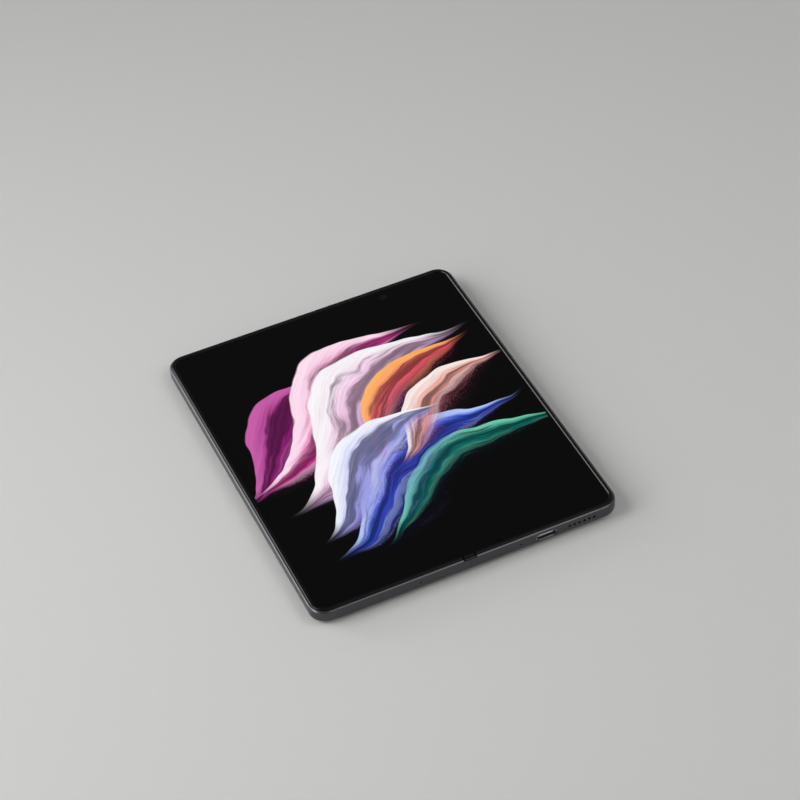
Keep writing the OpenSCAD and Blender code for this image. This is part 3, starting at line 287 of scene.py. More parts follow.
class Grain(Enum):
    """Directions of a finish's fine grain, as scale factors along X, Y and Z."""

    EVEN = (1.0, 1.0, 1.0)
    ALONG_FOLD = (1.0, 0.04, 1.0)
    ACROSS_FOLD = (0.04, 1.0, 1.0)


@dataclass(frozen=True)
class SurfaceFinish:
    """A moulded, blasted, brushed or printed surface with fine grain and slow variation.

    Slow patches and a fine grain are noises of their own sizes. Colour varies by a share of
    itself with both, roughness with both alike, and height with the grain.
    """

    name: str
    colour: Colour
    metallic: float = 0.0
    roughness: float = 0.4
    spread: float = 0.12
    rough_spread: float = 0.08
    grain: Grain = Grain.EVEN
    grain_size: float = 0.25 * MM
    grain_height: float = 0.002 * MM
    patch_size: float = 12 * MM
    patch_share: float = 0.7
    coat: float = 0.0
    ior: float = 1.5

    def make(self) -> bpy.types.Material:
        """Builds the material."""
        g = Graph.material(self.name)
        place = g.stretch(g.place(), self.grain.value)
        fine = g.noise(place, 1 / self.grain_size, detail=2.0, rough=0.6)
        slow = g.noise(g.place(), 1 / self.patch_size, detail=3.0)
        dark = tuple(c * (1 - self.spread) for c in self.colour)
        light = tuple(min(1.0, c * (1 + self.spread)) for c in self.colour)
        varied = slow * self.patch_share + fine * (1 - self.patch_share)
        least_rough = self.roughness - self.rough_spread
        rough = fine * self.rough_spread + slow * self.rough_spread + least_rough
        return g.finish(
            Base_Color=g.mix(varied, dark, light),
            Metallic=self.metallic,
            Roughness=rough,
            Normal=g.bump(fine, self.grain_height),
            Coat_Weight=self.coat,
            IOR=self.ior,
        )


@dataclass(frozen=True)
class CircuitBoard:
    """Solder mask with traces under it and round pads.

    Waves along X and along Y cross at one pitch. A blocky noise picks which of the two draws the
    traces, and a pad stands where both are near their crests.
    """

    name: str = "circuit_board"
    mask: Colour = (0.012, 0.06, 0.035)
    trace: Colour = (0.03, 0.13, 0.07)
    pad: Colour = (0.72, 0.58, 0.28)
    pitch: float = 1.3
    blocks_per_mm: float = 0.12
    copper_height: float = 0.02 * MM

    def make(self) -> bpy.types.Material:
        """Builds the material."""
        g = Graph.material(self.name)
        x, y = g.plan()
        blocks = g.noise(g.place(), self.blocks_per_mm / MM, detail=0.0).step(0.49, 0.51)
        along = (x * (2 * math.pi / self.pitch)).sin()
        across = (y * (2 * math.pi / self.pitch)).sin()
        lines = (blocks * along + (1 - blocks) * across).step(0.3, 0.5)
        dots = (along * across).step(0.9, 0.94)
        return g.finish(
            Base_Color=g.mix(dots, g.mix(lines, self.mask, self.trace), self.pad),
            Metallic=dots * 0.9,
            Roughness=0.42 - dots * 0.15,
            Normal=g.bump(lines + dots, self.copper_height),
        )


@dataclass(frozen=True)
class CoilWinding:
    """Copper wire wound flat: turns at a pitch, seen as rings round the coil's middle, with painted
    shade in the grooves between turns.
    """

    centre: tuple[float, float]
    name: str = "coil_winding"
    pitch: float = 0.9
    wire: Colour = (0.78, 0.36, 0.17)
    # painted shade: the dark colour given to the grooves between the turns
    groove: Colour = (0.16, 0.07, 0.03)
    groove_depth: float = 0.06 * MM

    def make(self) -> bpy.types.Material:
        """Builds the material."""
        g = Graph.material(self.name)
        turns = (distance(*g.plan(), self.centre) * (2 * math.pi / self.pitch)).sin()
        return g.finish(
            # the grooves between turns are darkened with painted shade
            Base_Color=g.mix(turns.step(-0.9, 0.6), self.groove, self.wire),
            Metallic=0.9,
            Roughness=0.32,
            Normal=g.bump(turns, self.groove_depth),
        )


@dataclass(frozen=True)
class Ribbon:
    """One translucent silk band of the display's picture, in millimetres and degrees.

    Its middle line is n = offset + swing * sin(s / period + phase), where s runs along the band
    from its centre and n across it. It tapers to both ends at its reach. One of its sides is
    crisp and the other soft, and its width breathes by twist * sin(s / (2 period) + 3 phase).
    """

    angle: float
    offset: float
    centre: float
    reach: float
    width: float
    swing: float
    period: float
    phase: float
    crisp: Colour
    middle: Colour
    soft: Colour
    weight: float = 0.97
    dust: float = 0.0
    twist: float = 0.25


@dataclass(frozen=True)
class DisplayFilm:
    """The inner display: near-black glossy film that shows flowing bands of light.

    The picture is drawn from the point at rest in millimetres, so it runs on over the panels
    and the bending strip. Bands are laid over each other from the first to the last.
    """

    name: str
    bands: tuple[Ribbon, ...]
    flat: bool = False
    border: tuple[float, float] = (60.6, 75.3)
    camera: tuple[float, float] = (32.0, 72.4)
    lens_radius: float = 1.65
    warp: float = 4.0
    warp_size: float = 25.0
    grain: float = 2.6
    tip: float = 0.4
    silk_scale: tuple[float, float] = (0.022, 2.2)
    fibre_scale: tuple[float, float] = (0.04, 0.9)
    fold_scale: tuple[float, float] = (4.4, 9.0)
    blur: float = 0.1
    black: Colour = (0.0022, 0.0022, 0.0025)
    lens_black: Colour = (0.006, 0.006, 0.008)
    unlit: Colour = (0.0, 0.0, 0.0)

    def cover(self, q: Signal, ends: Signal, silk: Signal, fibre: Signal) -> Signal:
        """How much one band hides of what lies under it.

        Args:
            q: place across the band, from -1 at its soft side to 1 at its crisp one.
            ends: 0 at the band's ends and 1 along its middle.
            silk: noise drawn out along the band.
            fibre: finer noise drawn out along the band.

        Returns:
            The cover from 0 to 1.
        """
        body = q.step(1.0, 0.95) * q.step(-1.05, -0.1) * ends.step(0.0, 0.3)
        return body * ((silk * 0.6 + fibre * 0.4).step(0.1, 0.42) * 0.8 + 0.2)

    def tint(self, r: Ribbon, q: Signal, silk: Signal, fibre: Signal) -> Signal:
        """Colour of one band.

        The soft colour runs into the middle one and that into the crisp one. Folds are a sine of
        the place across the band, bent by the silk noise: their crests take some of the crisp
        colour and their valleys are shaded.

        Args:
            r: the band.
            q: place across the band, as in cover.
            silk: noise drawn out along the band.
            fibre: finer noise drawn out along the band.

        Returns:
            The colour.
        """
        g = q.graph
        colour = g.mix((q + silk * 1.3).step(-0.5, 0.85), r.soft, r.middle)
        colour = g.mix((q + fibre * 0.7).step(0.45, 1.2), colour, r.crisp)
        fold = (q * self.fold_scale[0] + silk * self.fold_scale[1]).sin()
        colour = g.mix(fold.step(0.5, 1.0) * 0.4, colour, r.crisp)
        shade = fold.step(-1.0, 0.3) * 0.7 + fibre * 0.34 + 0.12
        return g.node("ShaderNodeVectorMath", {"operation": "SCALE"}, {0: colour, "Scale": shade})

    def band(self, r: Ribbon, x: Signal, y: Signal, warp: Signal) -> tuple[Signal, Signal]:
        """Colour and cover of one band. Dust leaves its soft side in grains.

        Args:
            r: the band.
            x: place across the phone.
            y: place along the fold.
            warp: slow noise from -1 to 1 that bends every band a little.

        Returns:
            Its colour, and its cover from 0 to 1.
        """
        g = x.graph
        c, s = math.cos(math.radians(r.angle)), math.sin(math.radians(r.angle))
        along = x * c + y * s - r.centre
        across = y * c - x * s - r.offset
        across = across - (along * (1 / r.period) + r.phase).sin() * r.swing + warp * self.warp
        ends = (abs(along) * (1 / r.reach)).step(1.0, 0.1)
        breath = (along * (0.5 / r.period) + 3 * r.phase).sin() * r.twist + 1.0
        q = across / (ends * breath * r.width + self.tip)
        u, v = self.silk_scale
        silk = g.noise(g.join(along * u + r.phase, q * v + warp, r.offset), 1.0, 4.0, 0.6)
        u, v = self.fibre_scale
        fibre = g.noise(g.join(along * u, across * v, r.phase), 1.0, 3.0, 0.7)
        cover = self.cover(q, ends, silk, fibre)
        if r.dust:
            grains = g.noise(g.join(x, y, r.phase), self.grain, 1.0, 0.8).step(0.55, 0.64)
            shed = q.step(-1.9, -0.5) * q.step(0.5, -0.6) * ends.step(0.05, 0.5)
            cover = cover.most(shed * grains * r.dust)
        return self.tint(r, q, silk, fibre), cover * r.weight

    def make(self) -> bpy.types.Material:
        """Builds the material."""
        g = Graph.material(self.name)
        x, y = g.plan(self.flat)
        warp = g.noise(g.join(x, y), 1 / self.warp_size, detail=2.0) * 2 - 1
        picture: Signal | Colour = self.unlit
        for r in self.bands:
            colour, cover = self.band(r, x, y, warp)
            picture = g.mix(cover, picture, colour)
        edge_x, edge_y = self.border
        lit = abs(x).step(edge_x + self.blur, edge_x) * abs(y).step(edge_y + self.blur, edge_y)
        outer, inner = self.lens_radius + self.blur, self.lens_radius - self.blur
        lens = distance(x, y, self.camera).step(outer, inner)
        return g.finish(
            Base_Color=g.mix(lens, self.black, self.lens_black),
            Roughness=lens * 0.05 + 0.11,
            IOR=1.2,
            Emission_Color=g.mix(lit, self.unlit, picture),
            Emission_Strength=1.0,
        )


# Each band's angle, offset, centre, reach, width, swing, period and phase; its crisp, middle and
# soft colours; its weight, dust and twist.
PICTURE = (
    Ribbon(38, 34, -20, 44, 11, 7, 15, 0.5, (0.62, 0.12, 0.42), (0.34, 0.02, 0.22), (0.12, 0.0, 0.09),
           0.9, 0.95, 0.3),
    Ribbon(22, -37, 6, 54, 10, 9, 17, 1.5, (0.16, 0.62, 0.42), (0.0, 0.22, 0.17), (0.0, 0.04, 0.06),
           0.95, 0.5, 0.3),
    Ribbon(27, -24, -8, 62, 14, 9, 18, 1.1, (0.45, 0.58, 1.0), (0.03, 0.08, 0.62), (0.03, 0.01, 0.22),
           0.97, 0.8),
    Ribbon(33, 25, 0, 64, 15, 9, 18, 0.2, (1.0, 0.74, 0.88), (0.76, 0.06, 0.36), (0.22, 0.0, 0.14),
           0.97, 0.9, 0.3),
    Ribbon(35, 11, 6, 68, 17, 10, 19, 0.7, (0.96, 0.92, 0.96), (0.88, 0.56, 0.78), (0.34, 0.14, 0.58),
           0.97, 0.4),
    Ribbon(42, 0, 22, 46, 12, 8, 16, 1.7, (1.0, 0.46, 0.12), (0.90, 0.13, 0.13), (0.42, 0.02, 0.11),
           0.97, 0.5, 0.3),
    Ribbon(30, -11, 26, 42, 10, 7, 15, 1.2, (1.0, 0.88, 0.84), (0.90, 0.42, 0.36), (0.36, 0.08, 0.13),
           0.95, 0.9),
    Ribbon(32, -9, -18, 48, 12, 8, 16, 0.9, (0.90, 0.93, 1.0), (0.44, 0.46, 0.92), (0.12, 0.05, 0.50),
           0.96, 0.9, 0.3),
)


@dataclass(frozen=True)
class CoverGlass:
    """Polished black glass over the cover display, which is off, with its camera's clear disc.

    Inside the display's border the black is a shade bluer. Round the camera's middle, rings by
    distance give a black surround, a metal edge and a dark violet lens.
    """

    camera: tuple[float, float]
    border: tuple[float, float, float, float]
    name: str = "cover_glass_black"
    black: Colour = (0.004, 0.004, 0.0045)
    display_black: Colour = (0.0065, 0.007, 0.010)
    surround: Colour = (0.001, 0.001, 0.001)
    surround_radius: float = 2.0
    metal: Colour = (0.10, 0.10, 0.11)
    metal_radii: tuple[float, float] = (1.5, 1.18)
    lens: Colour = (0.016, 0.010, 0.045)
    lens_radii: tuple[float, float] = (0.85, 0.2)
    blur: float = 0.1
    ring_blur: float = 0.08

    def make(self) -> bpy.types.Material:
        """Builds the material."""
        g = Graph.material(self.name)
        x, y = g.plan()
        x0, y0, x1, y1 = self.border
        inside = x.step(x0 - self.blur, x0) * x.step(x1 + self.blur, x1)
        inside = inside * y.step(y0 - self.blur, y0) * y.step(y1 + self.blur, y1)
        away = distance(x, y, self.camera)
        outer, inner = self.metal_radii
        ring = away.step(outer, outer - self.ring_blur) * away.step(inner, inner + self.ring_blur)
        colour = g.mix(inside, self.black, self.display_black)
        around = away.step(self.surround_radius, self.surround_radius - self.blur)
        colour = g.mix(around, colour, self.surround)
        colour = g.mix(ring, colour, self.metal)
        colour = g.mix(away.step(*self.lens_radii), colour, self.lens)
        dust = g.noise(g.place(), 0.4 / MM, detail=3.0)
        return g.finish(
            Base_Color=colour,
            Metallic=ring * 0.8,
            Roughness=dust * 0.05 + 0.03,
            IOR=1.5,
            Coat_Weight=0.2,
        )


@dataclass(frozen=True)
class ClearGlass:
    """Clear polished window glass with a faint tint."""

    name: str
    clear: Colour = (1.0, 1.0, 1.0)
    tint: Colour = (0.93, 0.95, 0.97)

    def make(self) -> bpy.types.Material:
        """Builds the material."""
        g = Graph.material(self.name)
        haze = g.noise(g.place(), 0.3 / MM, detail=2.0)
        return g.finish(
            Base_Color=g.mix(haze, self.tint, self.clear),
            Roughness=haze * 0.02,
            IOR=1.5,
            Transmission_Weight=1.0,
        )


@dataclass(frozen=True)
class CoatedLens:
    """A lens with a dark coating: violet at its middle, green-blue in a ring, black at its edge."""

    centres: tuple[tuple[float, float], ...]
    radius: float
    name: str = "coated_lens"
    middle: Colour = (0.05, 0.012, 0.09)
    ring: Colour = (0.006, 0.03, 0.05)
    edge: Colour = (0.002, 0.002, 0.003)

    def make(self) -> bpy.types.Material:
        """Builds the material from the distance to the nearest lens's centre."""
        g = Graph.material(self.name)
        x, y = g.plan()
        share = reduce(Signal.least, [distance(x, y, c) / self.radius for c in self.centres])
        inner = g.mix(share.step(0.0, 0.5), self.middle, self.ring)
        return g.finish(
            Base_Color=g.mix(share.step(0.55, 0.95), inner, self.edge),
            Roughness=share * 0.02 + 0.02,
            IOR=1.7,
            Coat_Weight=1.0,
        )


ALUMINIUM = SurfaceFinish("anodised_black", (0.085, 0.086, 0.092), 1.0, 0.30, 0.10, 0.05,
                          grain_size=0.09 * MM, grain_height=0.0012 * MM)
KEY_METAL = SurfaceFinish("anodised_key", (0.10, 0.10, 0.107), 1.0, 0.24, 0.10, 0.05,
                          grain_size=0.09 * MM, grain_height=0.0010 * MM)
BEZEL = SurfaceFinish("bezel_black", (0.0035, 0.0035, 0.0038), 0.0, 0.26, 0.2, 0.05,
                      grain_size=0.14 * MM, grain_height=0.0020 * MM, ior=1.30)
BACK_GLASS = SurfaceFinish("frosted_black_glass", (0.022, 0.022, 0.024), 0.0, 0.36, 0.08, 0.05,
                           grain_size=0.06 * MM, grain_height=0.0010 * MM, coat=0.15)
BREAKS = SurfaceFinish("break_plastic", (0.035, 0.035, 0.037), 0.0, 0.42)
PLATE = SurfaceFinish("rolled_steel", (0.50, 0.51, 0.53), 1.0, 0.34, grain=Grain.ALONG_FOLD)
HINGE = SurfaceFinish("ground_steel", (0.56, 0.56, 0.58), 1.0, 0.28, grain=Grain.ACROSS_FOLD)
SCREWS = SurfaceFinish("screw_steel", (0.40, 0.40, 0.42), 1.0, 0.30)
GEARS = SurfaceFinish("gear_brass", (0.78, 0.62, 0.34), 1.0, 0.27, grain=Grain.ACROSS_FOLD)
CAMERA = SurfaceFinish("camera_black", (0.018, 0.018, 0.020), 0.6, 0.42, grain_height=0.004 * MM)
FLASH = SurfaceFinish("flash_diffuser", (0.90, 0.84, 0.58), 0.0, 0.22, coat=0.6)
SHIELD = SurfaceFinish("tinned_shield", (0.66, 0.67, 0.68), 1.0, 0.30)
CELL = SurfaceFinish("cell_pouch", (0.10, 0.10, 0.11), 0.5, 0.34, 0.25, grain_size=1.2 * MM,
                     grain_height=0.02 * MM)
PLASTIC = SurfaceFinish("moulded_black", (0.028, 0.028, 0.030), 0.0, 0.5, grain_height=0.006 * MM)
SWITCH = SurfaceFinish("switch_body", (0.62, 0.60, 0.54), 0.0, 0.45)
NICKEL = SurfaceFinish("nickel_plate", (0.60, 0.60, 0.61), 1.0, 0.22)
SOCKET = SurfaceFinish("socket_steel", (0.58, 0.59, 0.60), 1.0, 0.28, grain=Grain.ALONG_FOLD)
GOLD = SurfaceFinish("contact_gold", (0.95, 0.70, 0.32), 1.0, 0.22)
MESH = SurfaceFinish("dust_screen", (0.05, 0.05, 0.052), 0.6, 0.5, 0.5, grain_size=0.12 * MM,
                     grain_height=0.03 * MM)
CABLE = SurfaceFinish("cable_film", (0.055, 0.030, 0.018), 0.0, 0.3, 0.15, grain=Grain.ACROSS_FOLD,
                      grain_size=0.5 * MM, grain_height=0.01 * MM)


# ---------------------------------------------------------------------------- meshes


@dataclass
class Shell:
    """Points and faces of a mesh, or of several closed shells in one."""

    points: Array = field(default_factory=lambda: np.zeros((0, 3)))
    faces: list[tuple[int, ...]] = field(default_factory=list)

    def join(self, other: Shell) -> Shell:
        """This shell and another in one."""
        moved = [tuple(i + len(self.points) for i in face) for face in other.faces]
        return Shell(np.vstack([self.points, other.points]), self.faces + moved)

    def shift(self, x: float, y: float, z: float) -> Shell:
        """The shell moved by a vector in millimetres."""
        return Shell(self.points + np.array([x, y, z]), self.faces)


def rounded_outline(a: Array, b: Array, r: Array, steps: int = 8) -> Array:
    """Rounded rectangles, one for each level.

    A corner's point is (a - r + r cos t, b - r + r sin t), with t over a quarter turn, and the
    other corners are turned copies. With a = b = r it is a circle.

    Args:
        a: half widths.
        b: half lengths.
        r: corner radii.
        steps: points of a corner, less one.

    Returns:
        Points of shape (levels, 4 * (steps + 1), 2).
    """
    turn = np.linspace(0, math.pi / 2, steps + 1)
    quarters = np.arange(4)[:, None] * (math.pi / 2)
    t = (quarters + turn).ravel()
    sx = np.repeat(np.array([1, -1, -1, 1]), steps + 1)
    sy = np.repeat(np.array([1, 1, -1, -1]), steps + 1)
    a, b, r = (np.asarray(v, float)[:, None] for v in (a, b, r))
    return np.stack([sx * (a - r) + r * np.cos(t), sy * (b - r) + r * np.sin(t)], axis=-1)


def loft(levels: Array, half: tuple[float, float], radius: float, steps: int = 8) -> Shell:
    """A closed shell of rounded rectangles stacked by height.

    The outline at each level is the first outline set in by the level's inset. Both ends are
    closed by a fan round a middle point.

    Args:
        levels: rows of (inset, height) in millimetres, from the first end to the last.
        half: half width and half length with no inset.
        radius: corner radius with no inset.
        steps: points of a corner, less one.

    Returns:
        The shell, round the Z axis.
    """
    inset, height = np.asarray(levels, float).T
    rings = rounded_outline(half[0] - inset, half[1] - inset, radius - inset, steps)
    n_levels, n = rings.shape[:2]
    heights = np.broadcast_to(height[:, None, None], (n_levels, n, 1))
    points = np.concatenate([rings, heights], axis=2).reshape(-1, 3)
    ends = np.array([[0, 0, height[0]], [0, 0, height[-1]]])
    i, j = np.meshgrid(np.arange(n_levels - 1), np.arange(n), indexing="ij")
    k = (j + 1) % n
    sides = np.stack([i * n + j, i * n + k, (i + 1) * n + k, (i + 1) * n + j], axis=-1).reshape(-1, 4)
    j = np.arange(n)
    k = (j + 1) % n
    first, last = len(points), len(points) + 1
    base = (n_levels - 1) * n
    low = np.stack([np.full(n, first), k, j], axis=-1)
    high = np.stack([np.full(n, last), base + j, base + k], axis=-1)
    faces = [tuple(f) for block in (sides, low, high) for f in block.tolist()]
    return Shell(np.vstack([points, ends]), faces)


def rounding(size: float, height: float, rise: float, steps: int = 5) -> list[tuple[float, float]]:
    """A quarter round as loft levels.

    inset = size (1 - cos t) and height = height + rise sin t, with t over a quarter turn.

    Args:
        size: how far it sets in.
        height: where it starts.
        rise: how far it rises; it may be negative.
        steps: levels, less one.

    Returns:
        Levels from the outer edge to the face.
    """
    t = np.linspace(0, math.pi / 2, steps + 1)
    return [(size * (1 - math.cos(a)), height + rise * math.sin(a)) for a in t]


def slab(x: Array, top: Array, under: Array, y0: float, y1: float) -> Shell:
    """A closed slab whose top and underside are heights over x, carried straight along Y.

    Its outline, out along the top and back along the underside, stands once at each end.

    Args:
        x: places across, rising.
        top: heights of the top at x.
        under: heights of the underside at x.
        y0: first end.
        y1: last end.

    Returns:
        The shell.
    """
    loop_x, loop_z = np.concatenate([x, x[::-1]]), np.concatenate([top, under[::-1]])
    n = len(loop_x)
    near, far = (np.stack([loop_x, np.full(n, y), loop_z], axis=-1) for y in (y0, y1))
    j = np.arange(n)
    k = (j + 1) % n
    sides = np.stack([j, n + j, n + k, k], axis=-1)
    j = np.arange(len(x) - 1)
    near_end = np.stack([j, j + 1, n - 2 - j, n - 1 - j], axis=-1)
    far_end = near_end[:, ::-1] + n
    faces = [tuple(f) for block in (sides, near_end, far_end) for f in block.tolist()]
    return Shell(np.vstack([near, far]), faces)


def place_in_scene(name: str, data: bpy.types.ID) -> bpy.types.Object:
    """Puts new data into the scene.

    Args:
        name: the object's name.
        data: its mesh, light or camera.

    Returns:
        The object, at the origin.
    """
    made = bpy.data.objects.new(name, data)
    bpy.context.scene.collection.objects.link(made)
    return made


def piece(
    name: str,
    shell: Shell,
    finish: bpy.types.Material,
    turn: Matrix | None = None,
) -> bpy.types.Object:
    """Makes an object from a shell in millimetres, at the origin, with its place in its mesh.

    Args:
        name: the piece's name.
        shell: its points and faces.
        finish: its material.
        turn: a turn or move of the points before they become metres.

    Returns:
        The object.
    """
    points = shell.points
    if turn is not None:
        t = np.array(turn)
        points = points @ t[:3, :3].T + t[:3, 3]
    mesh = bpy.data.meshes.new(name)
    mesh.from_pydata((points * MM).tolist(), [], shell.faces)
    work = bmesh.new()
    work.from_mesh(mesh)
    bmesh.ops.recalc_face_normals(work, faces=work.faces)
    work.to_mesh(mesh)
    work.free()
    plan = mesh.uv_layers.new(name="plan")
    corner = np.empty(len(mesh.loops), dtype=np.int32)
    mesh.loops.foreach_get("vertex_index", corner)
    plan.data.foreach_set("uv", (points[corner, :2] * MM).astype(np.float32).ravel())
    mesh.polygons.foreach_set("use_smooth", np.ones(len(mesh.polygons), dtype=bool))
    mesh.set_sharp_from_angle(angle=SMOOTH_ANGLE)
    mesh.materials.append(finish)
    mesh.update()
    return place_in_scene(name, mesh)


class Half(Enum):
    """The phone's halves, each by its side of the fold along X."""

    RIGHT = 1
    LEFT = -1

    @property
    def word(self) -> str:
        """Its word in names."""
        return self.name.lower()

    @property
    def body(self) -> str:
        """Its body."""
        return f"{self.word}_half"


@dataclass(frozen=True)
class CadParts:
    """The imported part's nodes: their places, which all else is built from, and their finishes."""

    objects: dict[str, bpy.types.Object]

    def box(self, node: str) -> tuple[Vector, Vector]:
        """Lowest and highest corner of a node, in millimetres."""
        low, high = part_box(node)
        return Vector(low) / MM, Vector(high) / MM

    def middle(self, node: str) -> Vector:
        """Middle of a node's box, in millimetres."""
        low, high = self.box(node)
        return (low + high) / 2

    def dress(self, node: str, finish: bpy.types.Material) -> None:
        """Gives a node a material.

        Args:
            node: the node's name.
            finish: its material.
        """
        materials = self.objects[node].data.materials
        materials.clear()
        materials.append(finish)
        log.info("dressed %s in %s", node, finish.name)


# ---------------------------------------------------------------------------- sub-assemblies


@dataclass
class FoldingDisplay:
    """The inner display: two flat panels and the strip between them that bends."""

    cad: CadParts
    film: float = 0.45
    crease: float = 0.05
    crease_width: float = 2.4
    bend_from: float = 4.2
    bend_to: float = 0.2
    columns: int = 33

    def half_strip(self, half: Half, finish: bpy.types.Material) -> bpy.types.Object:
        """One half of the bending strip, laid flat from the spine to that half's panel.

        Its top is z = face - crease * exp(-(x / crease_width)^2), a shallow valley on the fold.

        Args:
            half: the half of the phone.
            finish: the display's material.

        Returns:
            The piece.
        """
        low, high = self.cad.box("display_fold_strip")
        panel_edge = self.cad.box("right_display_panel")[0].x
        x = np.sort(np.linspace(0, panel_edge, self.columns) * half.value)
        top = high.z - self.crease * np.exp(-((x / self.crease_width) ** 2))
        under = np.full_like(x, high.z - self.film)
        made = piece(f"display_strip_{half.word}", slab(x, top, under, low.y, high.y), finish)
        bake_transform(made)
        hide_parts("display_fold_strip")
        return made

    def build(self) -> list[bpy.types.Object]:
        """Builds the strip and lights the panels."""
        panels = DisplayFilm("display_picture", PICTURE).make()
        strip = DisplayFilm("display_picture_strip", PICTURE, flat=True).make()
        for node in ("right_display_panel", "left_display_panel"):
            self.cad.dress(node, panels)
        return [self.half_strip(half, strip) for half in Half]


@dataclass
class FoldCables:
    """Two thin flat cables from half to half through the spine."""

    cad: CadParts
    width: float = 9.0
    bend_from: float = 7.2
    bend_to: float = 0.6
    columns: int = 31

    def half_cables(self, half: Half, finish: bpy.types.Material) -> bpy.types.Object:
        """Both cables' ribbons on one half, laid flat from the spine to that half of the phone.

        Args:
            half: the half of the phone.
            finish: the film's material.

        Returns:
            The piece.
        """
        low, high = self.cad.box("fold_cables")
        x = np.sort(np.linspace(0, high.x, self.columns) * half.value)
        flat = np.full_like(x, high.z), np.full_like(x, low.z)
        shell = Shell()
        for start in (low.y, high.y - self.width):
            shell = shell.join(slab(x, *flat, start, start + self.width))
        cable = piece(f"fold_cable_{half.word}", shell, finish)
        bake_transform(cable)
        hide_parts("fold_cables")
        return cable

    def build(self) -> list[bpy.types.Object]:
        """Builds the cables on both sides of the fold."""
        finish = CABLE.make()
        return [self.half_cables(half, finish) for half in Half]


@dataclass
class RearCameras:
    """Three cameras behind the island's windows, and the flash below them.

    Each camera has a square module, a barrel whose mouth steps in, and a domed lens.
    """

    cad: CadParts
    count: int = 3
    barrel: float = 4.2
    rim: float = 0.12
    baffles: int = 4
    baffle_width: float = 0.42
    baffle_depth: float = 0.2
    baffle_taper: float = 0.05
    window_gap: float = 0.03
    lens: float = 2.1
    dome: float = 0.62
    module: float = 5.0
    module_corner: float = 0.7
    module_step: float = 0.25
    module_height: float = 3.0
    module_steps: int = 4
    round_steps: int = 11
    lens_levels: int = 9
    lens_tip: float = 0.04
    flash_rings: int = 5
    flash_ridge: float = 0.05
    flash_steps: int = 9

    @property
    def mouth(self) -> float:
        """Height of the barrels' mouths, just above the windows."""
        return self.cad.box("camera_windows")[1].z + self.window_gap

    @property
    def seat(self) -> float:
        """Height of the lenses' seats, below all the baffles."""
        return self.mouth + (self.baffles + 2) * self.baffle_depth

    def centres(self) -> list[tuple[float, float]]:
        """The cameras' middles, from the top down."""
        low, high = self.cad.box("camera_windows")
        radius = (high.x - low.x) / 2
        ys = np.linspace(high.y - radius, low.y + radius, self.count)
        return [(low.x + radius, y) for y in ys]

    def module_shell(self) -> Shell:
        """A camera's square module with rounded corners and a step below its barrel."""
        top = self.cad.box("rear_cameras")[1].z
        low, step = top - self.module_height, self.module_step
        levels = [(step, low), (0.0, low + step), (0.0, top)]
        half = (self.module, self.module)
        return loft(np.array(levels), half, self.module_corner, self.module_steps)

    def barrel_shell(self) -> Shell:
        """A barrel turned round its axis.

        Each level is (inset of the radius, height): up the wall, over the round rim, then in by
        baffle_width and down by baffle_depth at each baffle.
        """
        mouth, bore = self.mouth, self.barrel - self.lens
        levels = [(0.0, self.seat), (0.0, mouth + self.rim)]
        levels += rounding(self.rim, mouth + self.rim, -self.rim, steps=3)
        for i in range(self.baffles):
            inset, height = (i + 1) * self.baffle_width, mouth + i * self.baffle_depth
            levels += [(inset, height), (inset + self.baffle_taper, height + self.baffle_depth)]
        levels += [(bore, mouth + self.baffles * self.baffle_depth), (bore, self.seat)]
        return loft(np.array(levels), (self.barrel, self.barrel), self.barrel, self.round_steps)

    def lens_shell(self) -> Shell:
        """A lens whose face is a shallow dome: it stands out by dome * cos of the angle out."""
        out = np.linspace(math.pi / 2, self.lens_tip, self.lens_levels)
        face = np.stack([self.lens * (1 - np.sin(out)), self.seat - self.dome * np.cos(out)], axis=-1)
        back = (0.0, self.seat + self.baffle_depth)
        return loft(np.vstack([back, face]), (self.lens, self.lens), self.lens, self.round_steps)

    def flash_shell(self) -> Shell:
        """A flash lens with ring ridges: z = face + ridge * sin^2(pi rings r / R)."""
        low, high = self.cad.box("flash_lens")
        middle = self.cad.middle("flash_lens")
        r = (high.x - low.x) / 2
        inset = np.linspace(self.rim, 0.97 * r, 8 * self.flash_rings)
        ridges = np.sin(inset / r * math.pi * self.flash_rings) ** 2
        face = low.z + self.flash_ridge * (0.5 + ridges)
        levels = [(0.0, high.z), (0.0, low.z + self.rim)] + list(zip(inset, face))
        return loft(np.array(levels), (r, r), r, self.flash_steps).shift(middle.x, middle.y, 0)

    def build(self) -> list[bpy.types.Object]:
        """Builds the modules, barrels, lenses and flash."""
        centres = self.centres()
        parts = {
            "camera_modules": (self.module_shell(), CAMERA.make()),
            "camera_barrels": (self.barrel_shell(), CAMERA.make()),
            "camera_lenses": (self.lens_shell(), CoatedLens(tuple(centres), self.lens).make()),
        }
        made = []
        for name, (one, finish) in parts.items():
            shell = Shell()
            for x, y in centres:
                shell = shell.join(one.shift(x, y, 0))
            camera = piece(name, shell, finish)
            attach(camera, "right_half")
            made.append(camera)
        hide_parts("rear_cameras")
        flash = piece("flash_diffuser", self.flash_shell(), FLASH.make())
        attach(flash, "right_half")
        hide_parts("flash_lens")
        return made + [flash]


